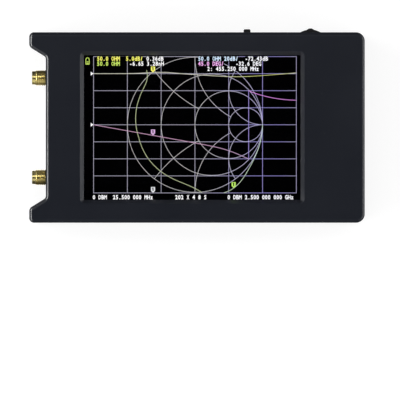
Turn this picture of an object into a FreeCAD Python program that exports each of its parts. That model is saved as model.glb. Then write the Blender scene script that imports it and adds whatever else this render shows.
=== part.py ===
import FreeCAD, Part
import math
import os

from FreeCAD import Vector

# Hand-held antenna analyzer: a two-shell case with a touch display, two threaded test
# ports on its left end, and a charging socket, a power switch and a jog lever on its
# upper edge. Seen with the display facing the reader, x runs right and y runs up, and
# z comes out of the display. The origin is the centre of the flat rear face. Millimetres.

# Case outline and walls
case_length = 130.5
case_width = 74.1
case_depth = 22.0
front_shell_depth = 11.0
side_wall = 2.0
front_wall = 2.2
rear_wall = 2.0
edge_round = 1.5
parting_chamfer = 0.15
right_corner_radius = 3.4
left_corner_radius = 1.8
least_radius = 0.3

# Ears that stand past the test ports
ear_length = 6.45
ear_tip_width = 5.65
ear_root_width = 9.65
ear_tip_radius = 2.1
ear_root_radius = 1.6

# Lip where the two shells meet
lip_thickness = 0.8
lip_height = 1.2
lip_gap = 0.1

# Display window in the front shell
window_length = 84.3
window_width = 56.3
window_offset = -1.85
window_corner_radius = 0.3
bevel_width = 1.5
bevel_depth = 1.9
bevel_corner_radius = 1.8

# Screws, bosses and threaded inserts
screw_radius = 1.0
screw_head_radius = 1.9
screw_head_height = 1.2
screw_head_gap = 0.15
screw_hole_gap = 0.1
screw_thread_gap = 0.02
screw_sink = 0.3
drive_width = 0.5
drive_length = 2.2
drive_depth = 0.7
boss_radius = 2.7
boss_gap = 0.1
right_boss_inset = 5.0
left_boss_end_inset = 6.25
left_boss_side_inset = 4.55
insert_radius = 1.6
insert_length = 4.0
insert_bore_depth = 5.5

# Main board and its standoffs
board_thickness = 1.6
board_edge_gap = 1.5
board_notch_gap = 0.5
board_screw_length = 5.0
board_screw_side_inset = 4.0
board_screw_left_inset = 4.0
board_screw_right_inset = 7.5
standoff_radius = 2.4
standoff_hole_depth = 6.0

# Test ports: threaded jacks for small coaxial plugs
port_spacing = 38.8
port_reach = 5.5
port_hole_gap = 0.35
port_neck_radius = 2.65
port_neck_length = 1.3
thread_radius = 3.1
thread_depth = 0.35
thread_pitch = 0.7056
thread_crest = 0.1
thread_turns = 6
port_bore_radius = 2.3
port_bore_depth = 1.9
dielectric_radius = 2.05
contact_radius = 0.635
contact_hole_radius = 0.47
contact_hole_depth = 2.6
contact_pin_radius = 0.38
contact_pin_length = 1.6
flange_size = 6.35
flange_thickness = 1.6
flange_wall_gap = 2.0
leg_width = 1.0
leg_height = 1.0
leg_length = 4.0

# Display stack under the front shell
display_shift = 3.25
display_length = 94.57
display_width = 60.88
display_sheet = 0.4
display_lip_drop = 0.4
display_inner_gap = 0.1
gasket_thickness = 0.3
gasket_window_gap = 0.8
gasket_edge_inset = 0.5
touch_thickness = 1.2
touch_overhang = 0.4
glass_thickness = 1.4
backlight_thickness = 1.3
pad_length = 8.0
pad_width = 8.0
pad_connector_gap = 1.0
pad_edge_inset = 11.55

# Flat cable from the display to the board
flex_thickness = 0.15
flex_width = 30.0
flex_run = 1.2
flex_drop = 1.0
flex_grip = 1.5
flex_connector_length = 5.0
flex_connector_height = 1.6
flex_connector_margin = 1.5
flex_connector_inset = 1.7

# Charging and data socket on the upper edge
usb_inset = 61.25
usb_width = 8.94
usb_height = 3.26
usb_length = 7.35
usb_sheet = 0.3
usb_recess = 0.6
usb_back = 1.0
usb_hole_gap = 0.25
usb_tongue_width = 6.7
usb_tongue_height = 0.7
usb_tongue_recess = 1.2

# Power switch on the upper edge
power_knob_inset = 45.75
power_knob_width = 2.66
power_knob_height = 2.0
power_knob_reach = 1.25
power_knob_chamfer = 0.25
power_travel = 2.0
power_slot_gap = 0.3
power_body_length = 9.0
power_body_depth = 3.4
power_body_height = 3.4
power_body_sheet = 0.4
power_body_wall_gap = 0.5
power_plate_length = 5.4
power_plate_depth = 1.0
power_plate_gap = 0.1
terminal_width = 0.6
terminal_length = 1.4
terminal_thickness = 0.25
terminal_pitch = 2.5

# Jog lever switch on the upper edge
jog_inset = 21.05
jog_pivot_inset = 6.75
jog_body_length = 11.0
jog_body_back = 3.5
jog_body_front = 2.9
jog_body_height = 3.2
jog_floor = 0.5
jog_plate_thickness = 0.3
jog_body_wall = 0.6
jog_gap = 0.1
jog_tab_width = 2.0
jog_tab_length = 1.6
plunger_thickness = 0.7
plunger_width = 7.2
plunger_back = 2.3
plunger_front = 2.5
pivot_pin_radius = 0.6
pivot_pin_gap = 0.05
pivot_press_gap = 0.01
lever_radius = 7.9
lever_inner_radius = 5.0
lever_hub_radius = 1.6
lever_web_width = 3.0
lever_half_angle = 31.0
lever_slot_gap = 0.3
lever_ridge_foot_width = 3.0
lever_ridge_top_width = 1.2
lever_ridge_height = 0.45
lever_edge_round = 0.3
side_slot_height = 2.8
jog_slot_length = 12.0

# Battery, its fence, tape, lead and plug
battery_width = 45.0
battery_board_gap = 1.32
battery_round = 2.0
battery_end_gap = 5.75
battery_shield_gap = 21.7
tape_thickness = 0.3
tape_inset = 5.0
fence_gap = 0.4
fence_thickness = 1.0
fence_height = 2.5
header_length = 4.0
header_width = 6.0
header_height = 3.4
header_wall = 0.5
header_distance = 14.0
header_shift = -12.0
plug_length = 5.0
plug_fit_gap = 0.1
lead_radius = 0.5
lead_spacing = 2.0
lead_straight = 1.5
lead_bend_radius = 2.2
lead_bend_angle = 55.0

# Shield cans under the board
shield_sheet = 0.2
shield_height = 2.0
shield_length = 26.0
shield_width = 25.0
shield_spacing = 29.0
shield_port_gap = 8.0
shield_skirt_gap = 0.05
shield_skirt_height = 1.1
shield_hole_radius = 0.6
shield_hole_pitch = 4.0
shield_hole_rows = 3
shield_hole_columns = 4

# Chips and crystals
controller_size = 10.0
controller_height = 1.4
controller_place = (-14.3, 3.0)
controller_leads = 12
lead_frame_reach = 1.0
lead_frame_pitch = 0.7
lead_frame_width = 0.3
lead_frame_thickness = 0.2
clock_size = 3.0
converter_size = 5.0
converter_place = (-30.3, -6.0)
charger_size = 4.0
charger_place = (9.7, 18.0)
mixer_size = 4.0
mixer_pitch = 7.0
small_chip_height = 0.9
crystal_length = 5.0
crystal_width = 3.2
crystal_height = 1.1
crystal_gap = 4.0

# Places worked out from the sizes above
half_length = case_length / 2
half_width = case_width / 2
parting_height = case_depth - front_shell_depth
port_wall_x = ear_length - half_length
front_inside_z = case_depth - front_wall
port_tip_x = port_wall_x - port_reach
flange_front_x = port_wall_x + side_wall + flange_wall_gap
board_left = flange_front_x + flange_thickness
board_right = half_length - side_wall - board_edge_gap
board_half_width = half_width - side_wall - board_edge_gap
board_top = parting_height - contact_pin_radius
board_bottom = board_top - board_thickness
side_slot_top = parting_height + side_slot_height
usb_x = half_length - usb_inset
power_knob_x = half_length - power_knob_inset
jog_x = half_length - jog_inset
board_centre_x = (board_left + board_right) / 2
display_centre_x = window_offset + display_shift
touch_top = front_inside_z - gasket_thickness
touch_bottom = touch_top - touch_thickness
glass_bottom = touch_bottom - glass_thickness
backlight_bottom = glass_bottom - backlight_thickness
display_bottom = backlight_bottom - display_sheet
jog_pivot_y = half_width - jog_pivot_inset
battery_right = half_length - side_wall - battery_end_gap
battery_left = board_left + shield_port_gap + shield_length + battery_shield_gap
battery_bottom = rear_wall + tape_thickness
battery_top = board_bottom - battery_board_gap
shortest_edge = 1e-6


def span(centre, size):
    """Both ends of a stretch that is centred on one place."""
    return (centre - size / 2, centre + size / 2)


def grown(ends, distance):
    """A stretch made longer at both ends, or shorter by a negative distance."""
    return (ends[0] - distance, ends[1] + distance)


def block(x, y, z):
    """Box between two places along each axis."""
    return Part.makeBox(x[1] - x[0], y[1] - y[0], z[1] - z[0], Vector(x[0], y[0], z[0]))


def post(place, radius, z):
    """Upright cylinder."""
    return Part.makeCylinder(radius, z[1] - z[0], Vector(place[0], place[1], z[0]))


def rod(y, z, radius, x):
    """Cylinder along x."""
    return Part.makeCylinder(radius, x[1] - x[0], Vector(x[0], y, z), Vector(1, 0, 0))


def corner_points(before, here, after, radius):
    """Start, middle and end of the arc that rounds one corner."""
    to_before = (before - here).normalize()
    to_after = (after - here).normalize()
    half_angle = to_before.getAngle(to_after) / 2
    reach = radius / math.tan(half_angle)
    bisector = (to_before + to_after).normalize()
    middle = here + bisector * (radius / math.sin(half_angle) - radius)
    return here + to_before * reach, middle, here + to_after * reach


def rounded_wire(corners, height):
    """Closed outline through corners, each given as x, y and its radius."""
    points = [Vector(x, y, height) for x, y, radius in corners]
    count = len(corners)
    arcs = []
    for index in range(count):
        after = points[(index + 1) % count]
        arcs.append(corner_points(points[index - 1], points[index], after, corners[index][2]))
    edges = []
    for index in range(count):
        start, middle, end = arcs[index]
        if corners[index][2] > 0:
            edges.append(Part.Arc(start, middle, end).toShape())
        following = arcs[(index + 1) % count][0]
        if end.distanceToPoint(following) > shortest_edge:
            edges.append(Part.makeLine(end, following))
    return Part.Wire(edges)


def prism(corners, z):
    """Upright solid with a rounded outline."""
    face = Part.Face(rounded_wire(corners, z[0]))
    return face.extrude(Vector(0, 0, z[1] - z[0]))


def rectangle(x, y, radius):
    """Corners of a rectangle, listed anticlockwise."""
    return [(x[0], y[0], radius), (x[1], y[0], radius), (x[1], y[1], radius), (x[0], y[1], radius)]


def moved_in(corners, distance):
    """The outline with every side moved inward, its rounded corners about the same centres."""
    result = []
    count = len(corners)
    for index in range(count):
        x, y, radius = corners[index]
        here = Vector(x, y, 0)
        before = Vector(corners[index - 1][0], corners[index - 1][1], 0)
        after = Vector(corners[(index + 1) % count][0], corners[(index + 1) % count][1], 0)
        arriving = (here - before).normalize()
        leaving = (after - here).normalize()
        first_normal = Vector(-arriving.y, arriving.x, 0)
        second_normal = Vector(-leaving.y, leaving.x, 0)
        shift = (first_normal + second_normal) * (distance / (1 + first_normal.dot(second_normal)))
        place = here + shift
        turns_left = arriving.cross(leaving).z > 0
        moved_radius = radius - distance if turns_left else radius + distance
        result.append((place.x, place.y, moved_radius if moved_radius > least_radius else 0))
    return result


def case_corners():
    """Outer outline of the case with its two ears, anticlockwise from the lower right."""
    tip_y = half_width - ear_tip_width
    root_y = half_width - ear_root_width
    return [
        (half_length, -half_width, right_corner_radius),
        (half_length, half_width, right_corner_radius),
        (-half_length, half_width, left_corner_radius),
        (-half_length, tip_y, ear_tip_radius),
        (port_wall_x, root_y, ear_root_radius),
        (port_wall_x, -root_y, ear_root_radius),
        (-half_length, -tip_y, ear_tip_radius),
        (-half_length, -half_width, left_corner_radius),
    ]


def edges_at(shape, height):
    """Edges that lie flat at one height."""
    found = []
    for edge in shape.Edges:
        box = edge.BoundBox
        if abs(box.ZMin - height) < shortest_edge and abs(box.ZMax - height) < shortest_edge:
            found.append(edge)
    return found


def boss_places():
    """Centres of the four bosses that hold the shells together."""
    places = []
    for side in (-1, 1):
        places.append((half_length - right_boss_inset, side * (half_width - right_boss_inset)))
        places.append((left_boss_end_inset - half_length, side * (half_width - left_boss_side_inset)))
    return places


def board_screw_places():
    """Centres of the four screws that hold the board."""
    places = []
    for side in (-1, 1):
        y = side * (board_half_width - board_screw_side_inset)
        places.append((board_left + board_screw_left_inset, y))
        places.append((board_right - board_screw_right_inset, y))
    return places


def port_centres():
    """Heights in y of the two test ports."""
    return {"port_one": port_spacing / 2, "port_two": -port_spacing / 2}


def port_holes():
    """Round holes in the left end wall for the two jacks."""
    wall = grown((port_wall_x, port_wall_x + side_wall), side_wall)
    radius = thread_radius + port_hole_gap
    return [rod(y, parting_height, radius, wall) for y in port_centres().values()]


def usb_outline(gap):
    """Rounded outline of the charging socket, drawn in x and z, with a gap round it."""
    height = usb_height + 2 * gap
    x = grown(span(usb_x, usb_width), gap)
    z = grown((board_top, board_top + usb_height), gap)
    return rectangle(x, z, height / 2)


def usb_prism(gap, y):
    """Solid along y with the socket's outline."""
    face = Part.Face(rounded_wire(usb_outline(gap), 0))
    turned = face.rotated(Vector(0, 0, 0), Vector(1, 0, 0), 90)
    return turned.translated(Vector(0, y[1], 0)).extrude(Vector(0, y[0] - y[1], 0))


def power_slot_x():
    """Stretch of the upper edge that the power knob needs."""
    resting = span(power_knob_x, power_knob_width)
    return grown((resting[0] - power_travel, resting[1]), power_slot_gap)


def side_openings():
    """Openings in the upper edge for the socket, the power knob and the jog lever."""
    y = grown((half_width - side_wall, half_width), side_wall)
    z = (parting_height, side_slot_top)
    socket = usb_prism(usb_hole_gap, y)
    power = block(power_slot_x(), y, z)
    jog = block(span(jog_x, jog_slot_length), y, z)
    return [socket, power, jog]


def window_cutter():
    """Bevelled display window through the front wall."""
    x = span(window_offset, window_length)
    y = span(0, window_width)
    narrow_z = case_depth - bevel_depth
    straight = prism(rectangle(x, y, window_corner_radius), (front_inside_z - side_wall, case_depth))
    lower = rounded_wire(rectangle(x, y, window_corner_radius), narrow_z)
    wide = rectangle(grown(x, bevel_width), grown(y, bevel_width), bevel_corner_radius)
    upper = rounded_wire(wide, case_depth)
    bevel = Part.makeLoft([lower, upper], True, True)
    return straight.fuse(bevel)


def front_cover():
    """Front shell: face with the window, side walls and bosses for the inserts."""
    outline = case_corners()
    shell = prism(outline, (parting_height, case_depth))
    shell = shell.makeFillet(edge_round, edges_at(shell, case_depth))
    shell = shell.makeChamfer(parting_chamfer, edges_at(shell, parting_height))
    shell = shell.cut(prism(moved_in(outline, side_wall), (parting_height, front_inside_z)))
    boss_z = (parting_height + boss_gap, front_inside_z)
    room = prism(moved_in(outline, side_wall - lip_thickness), boss_z)
    bosses = [post(place, boss_radius, boss_z).common(room) for place in boss_places()]
    shell = shell.fuse(bosses)
    groove_z = (parting_height, parting_height + lip_height + lip_gap)
    groove = prism(moved_in(outline, side_wall - lip_thickness - lip_gap), groove_z)
    shell = shell.cut(groove.cut(prism(moved_in(outline, side_wall + lip_gap), groove_z)))
    bore_z = (parting_height, parting_height + boss_gap + insert_bore_depth)
    bores = [post(place, insert_radius + screw_thread_gap, bore_z) for place in boss_places()]
    return shell.cut([window_cutter()] + bores + port_holes() + side_openings())


def battery_fence():
    """Low rib on the rear wall that keeps the battery in place."""
    x = grown((battery_left, battery_right), fence_gap)
    y = grown(span(0, battery_width), fence_gap)
    z = (rear_wall, rear_wall + fence_height)
    outer = prism(rectangle(grown(x, fence_thickness), grown(y, fence_thickness), battery_round), z)
    lead_y = (header_shift - lead_spacing, header_shift + lead_shift() + lead_spacing)
    lead_gap = block((x[0] - fence_thickness, battery_left), lead_y, z)
    return outer.cut([prism(rectangle(x, y, battery_round), z), lead_gap])


def rear_cover():
    """Rear shell: flat rear face, side walls with the lip, bosses, standoffs and battery fence."""
    outline = case_corners()
    inside = moved_in(outline, side_wall)
    shell = prism(outline, (0, parting_height))
    shell = shell.makeFillet(edge_round, edges_at(shell, 0))
    shell = shell.makeChamfer(parting_chamfer, edges_at(shell, parting_height))
    tongue_outline = moved_in(outline, side_wall - lip_thickness)
    tongue = prism(tongue_outline, (parting_height, parting_height + lip_height))
    shell = shell.fuse(tongue)
    shell = shell.cut(prism(inside, (rear_wall, parting_height + lip_height)))
    bosses = [post(place, boss_radius, (rear_wall, parting_height)) for place in boss_places()]
    room = prism(moved_in(outline, side_wall / 2), (rear_wall, parting_height))
    bosses = [boss.common(room) for boss in bosses]
    standoffs = [post(place, standoff_radius, (rear_wall, board_bottom)) for place in board_screw_places()]
    shell = shell.fuse(bosses + standoffs + [battery_fence()])
    head_z = (0, screw_sink + screw_head_height)
    cutters = []
    for place in boss_places():
        cutters.append(post(place, screw_head_radius + screw_head_gap, head_z))
        cutters.append(post(place, screw_radius + screw_hole_gap, (0, parting_height)))
    for place in board_screw_places():
        hole_z = (board_bottom - standoff_hole_depth, board_bottom)
        cutters.append(post(place, screw_radius + screw_thread_gap, hole_z))
    return shell.cut(cutters + port_holes() + side_openings())


def drive_recess(place, z):
    """Cross recess in a screw head, between two heights."""
    along = block(span(place[0], drive_length), span(place[1], drive_width), z)
    across = block(span(place[0], drive_width), span(place[1], drive_length), z)
    return along.fuse(across)


def cover_screws():
    """Four screws from the rear face up into the threaded inserts."""
    screws = []
    head_z = (screw_sink, screw_sink + screw_head_height)
    tip_z = parting_height + boss_gap + insert_length
    for place in boss_places():
        head = post(place, screw_head_radius, head_z)
        shank = post(place, screw_radius, (head_z[0], tip_z))
        recess = drive_recess(place, (screw_sink, screw_sink + drive_depth))
        screws.append(head.fuse(shank).cut(recess))
    return Part.makeCompound(screws)


def threaded_inserts():
    """Four brass inserts in the front shell's bosses."""
    inserts = []
    z = (parting_height + boss_gap, parting_height + boss_gap + insert_length)
    for place in boss_places():
        body = post(place, insert_radius, z)
        inserts.append(body.cut(post(place, screw_radius + screw_thread_gap, z)))
    return Part.makeCompound(inserts)


def main_board():
    """Circuit board, notched round the right bosses and drilled for its screws."""
    z = (board_bottom, board_top)
    board = block((board_left, board_right), span(0, 2 * board_half_width), z)
    cutters = []
    for x, y in boss_places():
        reach = boss_radius + board_notch_gap
        beyond = case_width
        side = (y - reach, y + beyond) if y > 0 else (y - beyond, y + reach)
        end = (x - reach, x + beyond) if x > 0 else (x - beyond, x + reach)
        cutters.append(block(end, side, z))
    for place in board_screw_places():
        cutters.append(post(place, screw_radius + screw_hole_gap, z))
    return board.cut(cutters)


def board_screws():
    """Four screws that hold the board to its standoffs."""
    screws = []
    head_z = (board_top, board_top + screw_head_height)
    for place in board_screw_places():
        head = post(place, screw_head_radius, head_z)
        shank = post(place, screw_radius, (board_top - board_screw_length, board_top))
        recess = drive_recess(place, (head_z[1] - drive_depth, head_z[1]))
        screws.append(head.fuse(shank).cut(recess))
    return Part.makeCompound(screws)


def jack_profile():
    """Half section of the threaded barrel, from its tip to the flange, about the x axis."""
    root_radius = thread_radius - thread_depth
    flank = thread_depth * math.tan(math.radians(30))
    neck_end = port_tip_x + port_neck_length
    points = [(port_tip_x, 0), (port_tip_x, port_neck_radius)]
    points += [(neck_end, port_neck_radius), (neck_end, root_radius)]
    for turn in range(thread_turns):
        x = neck_end + turn * thread_pitch
        rise = x + flank
        points += [(rise, thread_radius), (rise + thread_crest, thread_radius)]
        points += [(rise + thread_crest + flank, root_radius), (x + thread_pitch, root_radius)]
    points += [(flange_front_x, root_radius), (flange_front_x, 0), (port_tip_x, 0)]
    return [Vector(x, radius, 0) for x, radius in points]


def port_jack(y):
    """Threaded jack body with a square flange and four legs that grip the board's edge."""
    barrel = Part.Face(Part.makePolygon(jack_profile())).revolve(Vector(0, 0, 0), Vector(1, 0, 0), 360)
    barrel = barrel.translated(Vector(0, y, parting_height))
    flange_y = span(y, flange_size)
    flange = block((flange_front_x, board_left), flange_y, span(parting_height, flange_size))
    leg_x = (board_left, board_left + leg_length)
    legs = []
    for leg_y in ((flange_y[0], flange_y[0] + leg_width), (flange_y[1] - leg_width, flange_y[1])):
        legs.append(block(leg_x, leg_y, (board_top, board_top + leg_height)))
        legs.append(block(leg_x, leg_y, (board_bottom - leg_height, board_bottom)))
    mouth = (port_tip_x, port_tip_x + port_bore_depth)
    body = barrel.fuse([flange] + legs)
    bores = [rod(y, parting_height, port_bore_radius, mouth)]
    bores.append(rod(y, parting_height, dielectric_radius, (port_tip_x, board_left)))
    return body.cut(bores)


def port_dielectric(y):
    """White plastic core between the jack body and the centre contact."""
    x = (port_tip_x + port_bore_depth, board_left)
    core = rod(y, parting_height, dielectric_radius, x)
    return core.cut(rod(y, parting_height, contact_radius, x))


def port_contact(y):
    """Centre contact: a socket towards the plug and a pin that rests on the board."""
    x = (port_tip_x + port_bore_depth, board_left)
    socket = rod(y, parting_height, contact_radius, x)
    pin = rod(y, parting_height, contact_pin_radius, (board_left, board_left + contact_pin_length))
    hole = rod(y, parting_height, contact_hole_radius, (x[0], x[0] + contact_hole_depth))
    return socket.fuse(pin).cut(hole)


def display_outline(distance):
    """Stretches in x and y of the display module, grown by a distance."""
    x = grown(span(display_centre_x, display_length), distance)
    y = grown(span(0, display_width), distance)
    return x, y


def display_frame():
    """Folded steel tray that holds the backlight and the display glass."""
    x, y = display_outline(0)
    tray = block(x, y, (display_bottom, touch_bottom - display_lip_drop))
    x, y = display_outline(-display_sheet)
    return tray.cut(block(x, y, (backlight_bottom, touch_bottom)))


def display_backlight():
    """Light guide under the display glass."""
    x, y = display_outline(-display_sheet - display_inner_gap)
    return block(x, y, (backlight_bottom, glass_bottom))


def display_glass():
    """Display glass, which lies on the backlight."""
    x, y = display_outline(-display_sheet - display_inner_gap)
    return block(x, y, (glass_bottom, touch_bottom))


def touch_panel():
    """Touch panel on the display glass."""
    x, y = display_outline(touch_overhang)
    return block(x, y, (touch_bottom, touch_top))


def display_gasket():
    """Foam ring between the touch panel and the front wall."""
    x, y = display_outline(-gasket_edge_inset)
    z = (touch_top, front_inside_z)
    inner_x = grown(span(window_offset, window_length), gasket_window_gap)
    inner_y = grown(span(0, window_width), gasket_window_gap)
    return block(x, y, z).cut(block(inner_x, inner_y, z))


def display_support_pads():
    """Four foam pads between the board and the display, clear of the flat cable's connector."""
    pads = []
    right = flex_connector_x()[0] - pad_connector_gap - pad_length / 2
    for x in (2 * display_centre_x - right, right):
        for y in span(0, 2 * (board_half_width - pad_edge_inset)):
            pads.append(block(span(x, pad_length), span(y, pad_width), (board_top, display_bottom)))
    return Part.makeCompound(pads)


def flex_connector_x():
    """Ends of the flat cable's connector, left of the display's right end."""
    right = display_outline(0)[0][1] - flex_connector_inset
    return (right - flex_connector_length, right)


def display_flex():
    """Flat cable that leaves the display's right end and folds back into its connector."""
    start_x = display_outline(0)[0][1]
    bend_x = start_x + flex_run
    top = touch_bottom - display_lip_drop - flex_drop
    bottom = board_top + flex_connector_height / 2
    radius = (top - bottom) / 2
    middle_z = (top + bottom) / 2
    end_x = flex_connector_x()[1] - flex_grip
    edges = []
    for offset in (flex_thickness / 2, -flex_thickness / 2):
        reach = radius + offset
        upper = Vector(bend_x, 0, middle_z + reach)
        outer = Vector(bend_x + reach, 0, middle_z)
        lower = Vector(bend_x, 0, middle_z - reach)
        start = Vector(start_x, 0, middle_z + reach)
        end = Vector(end_x, 0, middle_z - reach)
        bend = Part.Arc(upper, outer, lower).toShape()
        edges.append([Part.makeLine(start, upper), bend, Part.makeLine(lower, end)])
    outside, inside = edges
    end_cap = Part.makeLine(outside[2].lastVertex().Point, inside[2].lastVertex().Point)
    start_cap = Part.makeLine(inside[0].firstVertex().Point, outside[0].firstVertex().Point)
    wire = Part.Wire(Part.__sortEdges__(outside + [end_cap] + inside + [start_cap]))
    ribbon = Part.Face(wire).translated(Vector(0, -flex_width / 2, 0))
    return ribbon.extrude(Vector(0, flex_width, 0))


def flex_connector():
    """Socket on the board that grips the flat cable."""
    width = flex_width + 2 * flex_connector_margin
    body = block(flex_connector_x(), span(0, width), (board_top, board_top + flex_connector_height))
    mouth_z = span(board_top + flex_connector_height / 2, flex_thickness)
    right = flex_connector_x()[1]
    return body.cut(block((right - flex_grip, right), span(0, flex_width), mouth_z))


def usb_socket_shell():
    """Folded steel shell of the charging socket."""
    mouth = half_width - usb_recess
    shell = usb_prism(0, (mouth - usb_length, mouth))
    return shell.cut(usb_prism(-usb_sheet, (mouth - usb_length + usb_back, mouth)))


def usb_socket_tongue():
    """Plastic tongue inside the charging socket."""
    mouth = half_width - usb_recess
    y = (mouth - usb_length + usb_back, mouth - usb_tongue_recess)
    z = span(board_top + usb_height / 2, usb_tongue_height)
    return block(span(usb_x, usb_tongue_width), y, z)


def power_body_y():
    """Front and back of the power switch's body."""
    front = half_width - side_wall - power_body_wall_gap
    return (front - power_body_depth, front)


def power_centre_z():
    """Height of the power knob's middle."""
    return (parting_height + side_slot_top) / 2


def power_body_x():
    """Ends of the power switch's body, centred on the knob's travel."""
    return span(power_knob_x - power_travel / 2, power_body_length)


def power_switch_body():
    """Steel housing of the power switch, hollow for its sliding plate."""
    x, y = power_body_x(), power_body_y()
    z = (board_top, board_top + power_body_height)
    body = block(x, y, z)
    hollow = block(grown(x, -power_body_sheet), grown(y, -power_body_sheet), grown(z, -power_body_sheet))
    slot_z = grown(span(power_centre_z(), power_knob_height), power_plate_gap)
    slot = block(power_slot_x(), (y[1] - power_body_sheet, y[1]), slot_z)
    return body.cut([hollow, slot])


def power_switch_terminals():
    """Three solder terminals behind the power switch."""
    terminals = []
    back = power_body_y()[0]
    z = (board_top, board_top + terminal_thickness)
    centre = power_knob_x - power_travel / 2
    for step in (-1, 0, 1):
        x = span(centre + step * terminal_pitch, terminal_width)
        terminals.append(block(x, (back - terminal_length, back), z))
    return Part.makeCompound(terminals)


def power_switch_slider():
    """Sliding plate inside the switch with the knob that stands out of the case."""
    inner_front = power_body_y()[1] - power_body_sheet
    plate_y = (inner_front - power_plate_gap - power_plate_depth, inner_front - power_plate_gap)
    hollow_z = grown((board_top, board_top + power_body_height), -power_body_sheet - power_plate_gap)
    plate = block(span(power_knob_x, power_plate_length), plate_y, hollow_z)
    tip = half_width + power_knob_reach
    knob_z = span(power_centre_z(), power_knob_height)
    knob = block(span(power_knob_x, power_knob_width), (plate_y[1], tip), knob_z)
    tip_edges = [edge for edge in knob.Edges if edge.BoundBox.YMin > tip - power_knob_chamfer]
    knob = knob.makeChamfer(power_knob_chamfer, tip_edges)
    return plate.fuse(knob)


def jog_top():
    """Underside of the jog switch's cover plate."""
    return board_top + jog_body_height - jog_plate_thickness


def jog_switch_housing():
    """Open-fronted plastic tray of the jog switch."""
    x = span(jog_x, jog_body_length)
    y = (jog_pivot_y - jog_body_back, jog_pivot_y + jog_body_front)
    tray = block(x, y, (board_top, jog_top()))
    hollow_y = (y[0] + jog_body_wall, y[1])
    return tray.cut(block(grown(x, -jog_body_wall), hollow_y, (board_top + jog_floor, jog_top())))


def jog_switch_plate():
    """Steel plate over the jog switch, with a tab folded down at each side."""
    x = span(jog_x, jog_body_length)
    y = (jog_pivot_y - jog_body_back, jog_pivot_y + jog_body_front)
    plate = block(x, y, (jog_top(), jog_top() + jog_plate_thickness))
    tab_y = span((y[0] + y[1]) / 2, jog_tab_width)
    tab_z = (jog_top() - jog_tab_length, jog_top() + jog_plate_thickness)
    left = block((x[0] - jog_plate_thickness, x[0]), tab_y, tab_z)
    right = block((x[1], x[1] + jog_plate_thickness), tab_y, tab_z)
    return plate.fuse([left, right])


def plunger_z():
    """Underside and top of the jog plunger."""
    low = board_top + jog_floor + jog_gap
    return (low, low + plunger_thickness)


def jog_plunger():
    """Slide that carries the lever's pin and moves inward when the lever is pressed."""
    y = (jog_pivot_y - plunger_back, jog_pivot_y + plunger_front)
    slide = block(span(jog_x, plunger_width), y, plunger_z())
    return slide.cut(post((jog_x, jog_pivot_y), pivot_pin_radius + pivot_press_gap, plunger_z()))


def jog_pivot_pin():
    """Pin that the lever turns on."""
    return post((jog_x, jog_pivot_y), pivot_pin_radius, (plunger_z()[0], jog_top() - jog_gap))


def lever_point(radius, angle):
    """Point on the lever at a radius and an angle from straight up, about the pivot."""
    turn = math.radians(angle)
    return Vector(jog_x + radius * math.sin(turn), jog_pivot_y + radius * math.cos(turn), 0)


def lever_arc(radius, first, last):
    """Arc about the lever's pivot between two angles."""
    middle = lever_point(radius, (first + last) / 2)
    return Part.Arc(lever_point(radius, first), middle, lever_point(radius, last)).toShape()


def lever_sector(outer, half_angle, z):
    """Ring sector of the lever between its inner radius and an outer radius."""
    outside = lever_arc(outer, -half_angle, half_angle)
    inside = lever_arc(lever_inner_radius, half_angle, -half_angle)
    right = Part.makeLine(lever_point(outer, half_angle), lever_point(lever_inner_radius, half_angle))
    left = Part.makeLine(lever_point(lever_inner_radius, -half_angle), lever_point(outer, -half_angle))
    face = Part.Face(Part.Wire([outside, right, inside, left])).translated(Vector(0, 0, z[0]))
    return face.extrude(Vector(0, 0, z[1] - z[0]))


def thumb_ridge(z):
    """Ridge with sloping sides across the middle of the lever's rim."""
    foot_y = jog_pivot_y + math.sqrt(lever_radius ** 2 - (lever_ridge_foot_width / 2) ** 2)
    top_y = jog_pivot_y + lever_radius + lever_ridge_height
    foot, top = span(jog_x, lever_ridge_foot_width), span(jog_x, lever_ridge_top_width)
    corners = [(foot[0], jog_pivot_y + lever_inner_radius), (foot[1], jog_pivot_y + lever_inner_radius)]
    corners += [(foot[1], foot_y), (top[1], top_y), (top[0], top_y), (foot[0], foot_y)]
    return prism([(x, y, 0) for x, y in corners], z)


def jog_lever():
    """Lever on the pivot pin, with a domed rim and a thumb ridge outside the case."""
    rim_z = grown((parting_height, side_slot_top), -lever_slot_gap)
    hub_z = (plunger_z()[1] + jog_gap, jog_top() - jog_gap)
    rim = lever_sector(lever_radius, lever_half_angle, rim_z)
    flat_edges = edges_at(rim, rim_z[0]) + edges_at(rim, rim_z[1])
    crown_y = jog_pivot_y + lever_radius - lever_edge_round
    rim = rim.makeFillet(lever_edge_round, [edge for edge in flat_edges if edge.BoundBox.YMax > crown_y])
    ridge = thumb_ridge(grown(rim_z, -lever_edge_round))
    hub = post((jog_x, jog_pivot_y), lever_hub_radius, hub_z)
    web_y = (jog_pivot_y, jog_pivot_y + (lever_inner_radius + lever_radius) / 2)
    web = block(span(jog_x, lever_web_width), web_y, hub_z)
    bore = post((jog_x, jog_pivot_y), pivot_pin_radius + pivot_pin_gap, hub_z)
    return rim.fuse([ridge, hub, web]).cut(bore)


def battery_cell():
    """Flat pouch cell on the rear wall."""
    z = (battery_bottom, battery_top)
    return prism(rectangle((battery_left, battery_right), span(0, battery_width), battery_round), z)


def battery_tape():
    """Double-sided tape under the cell."""
    x = grown((battery_left, battery_right), -tape_inset)
    y = grown(span(0, battery_width), -tape_inset)
    return block(x, y, (rear_wall, battery_bottom))


def header_x():
    """Back and mouth of the battery header under the board."""
    mouth = battery_left - header_distance + header_length
    return (mouth - header_length, mouth)


def battery_header():
    """Socket under the board, open towards the battery."""
    y = span(header_shift, header_width)
    z = (board_bottom - header_height, board_bottom)
    body = block(header_x(), y, z)
    hollow_x = (header_x()[0] + header_wall, header_x()[1])
    return body.cut(block(hollow_x, grown(y, -header_wall), grown(z, -header_wall)))


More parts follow.
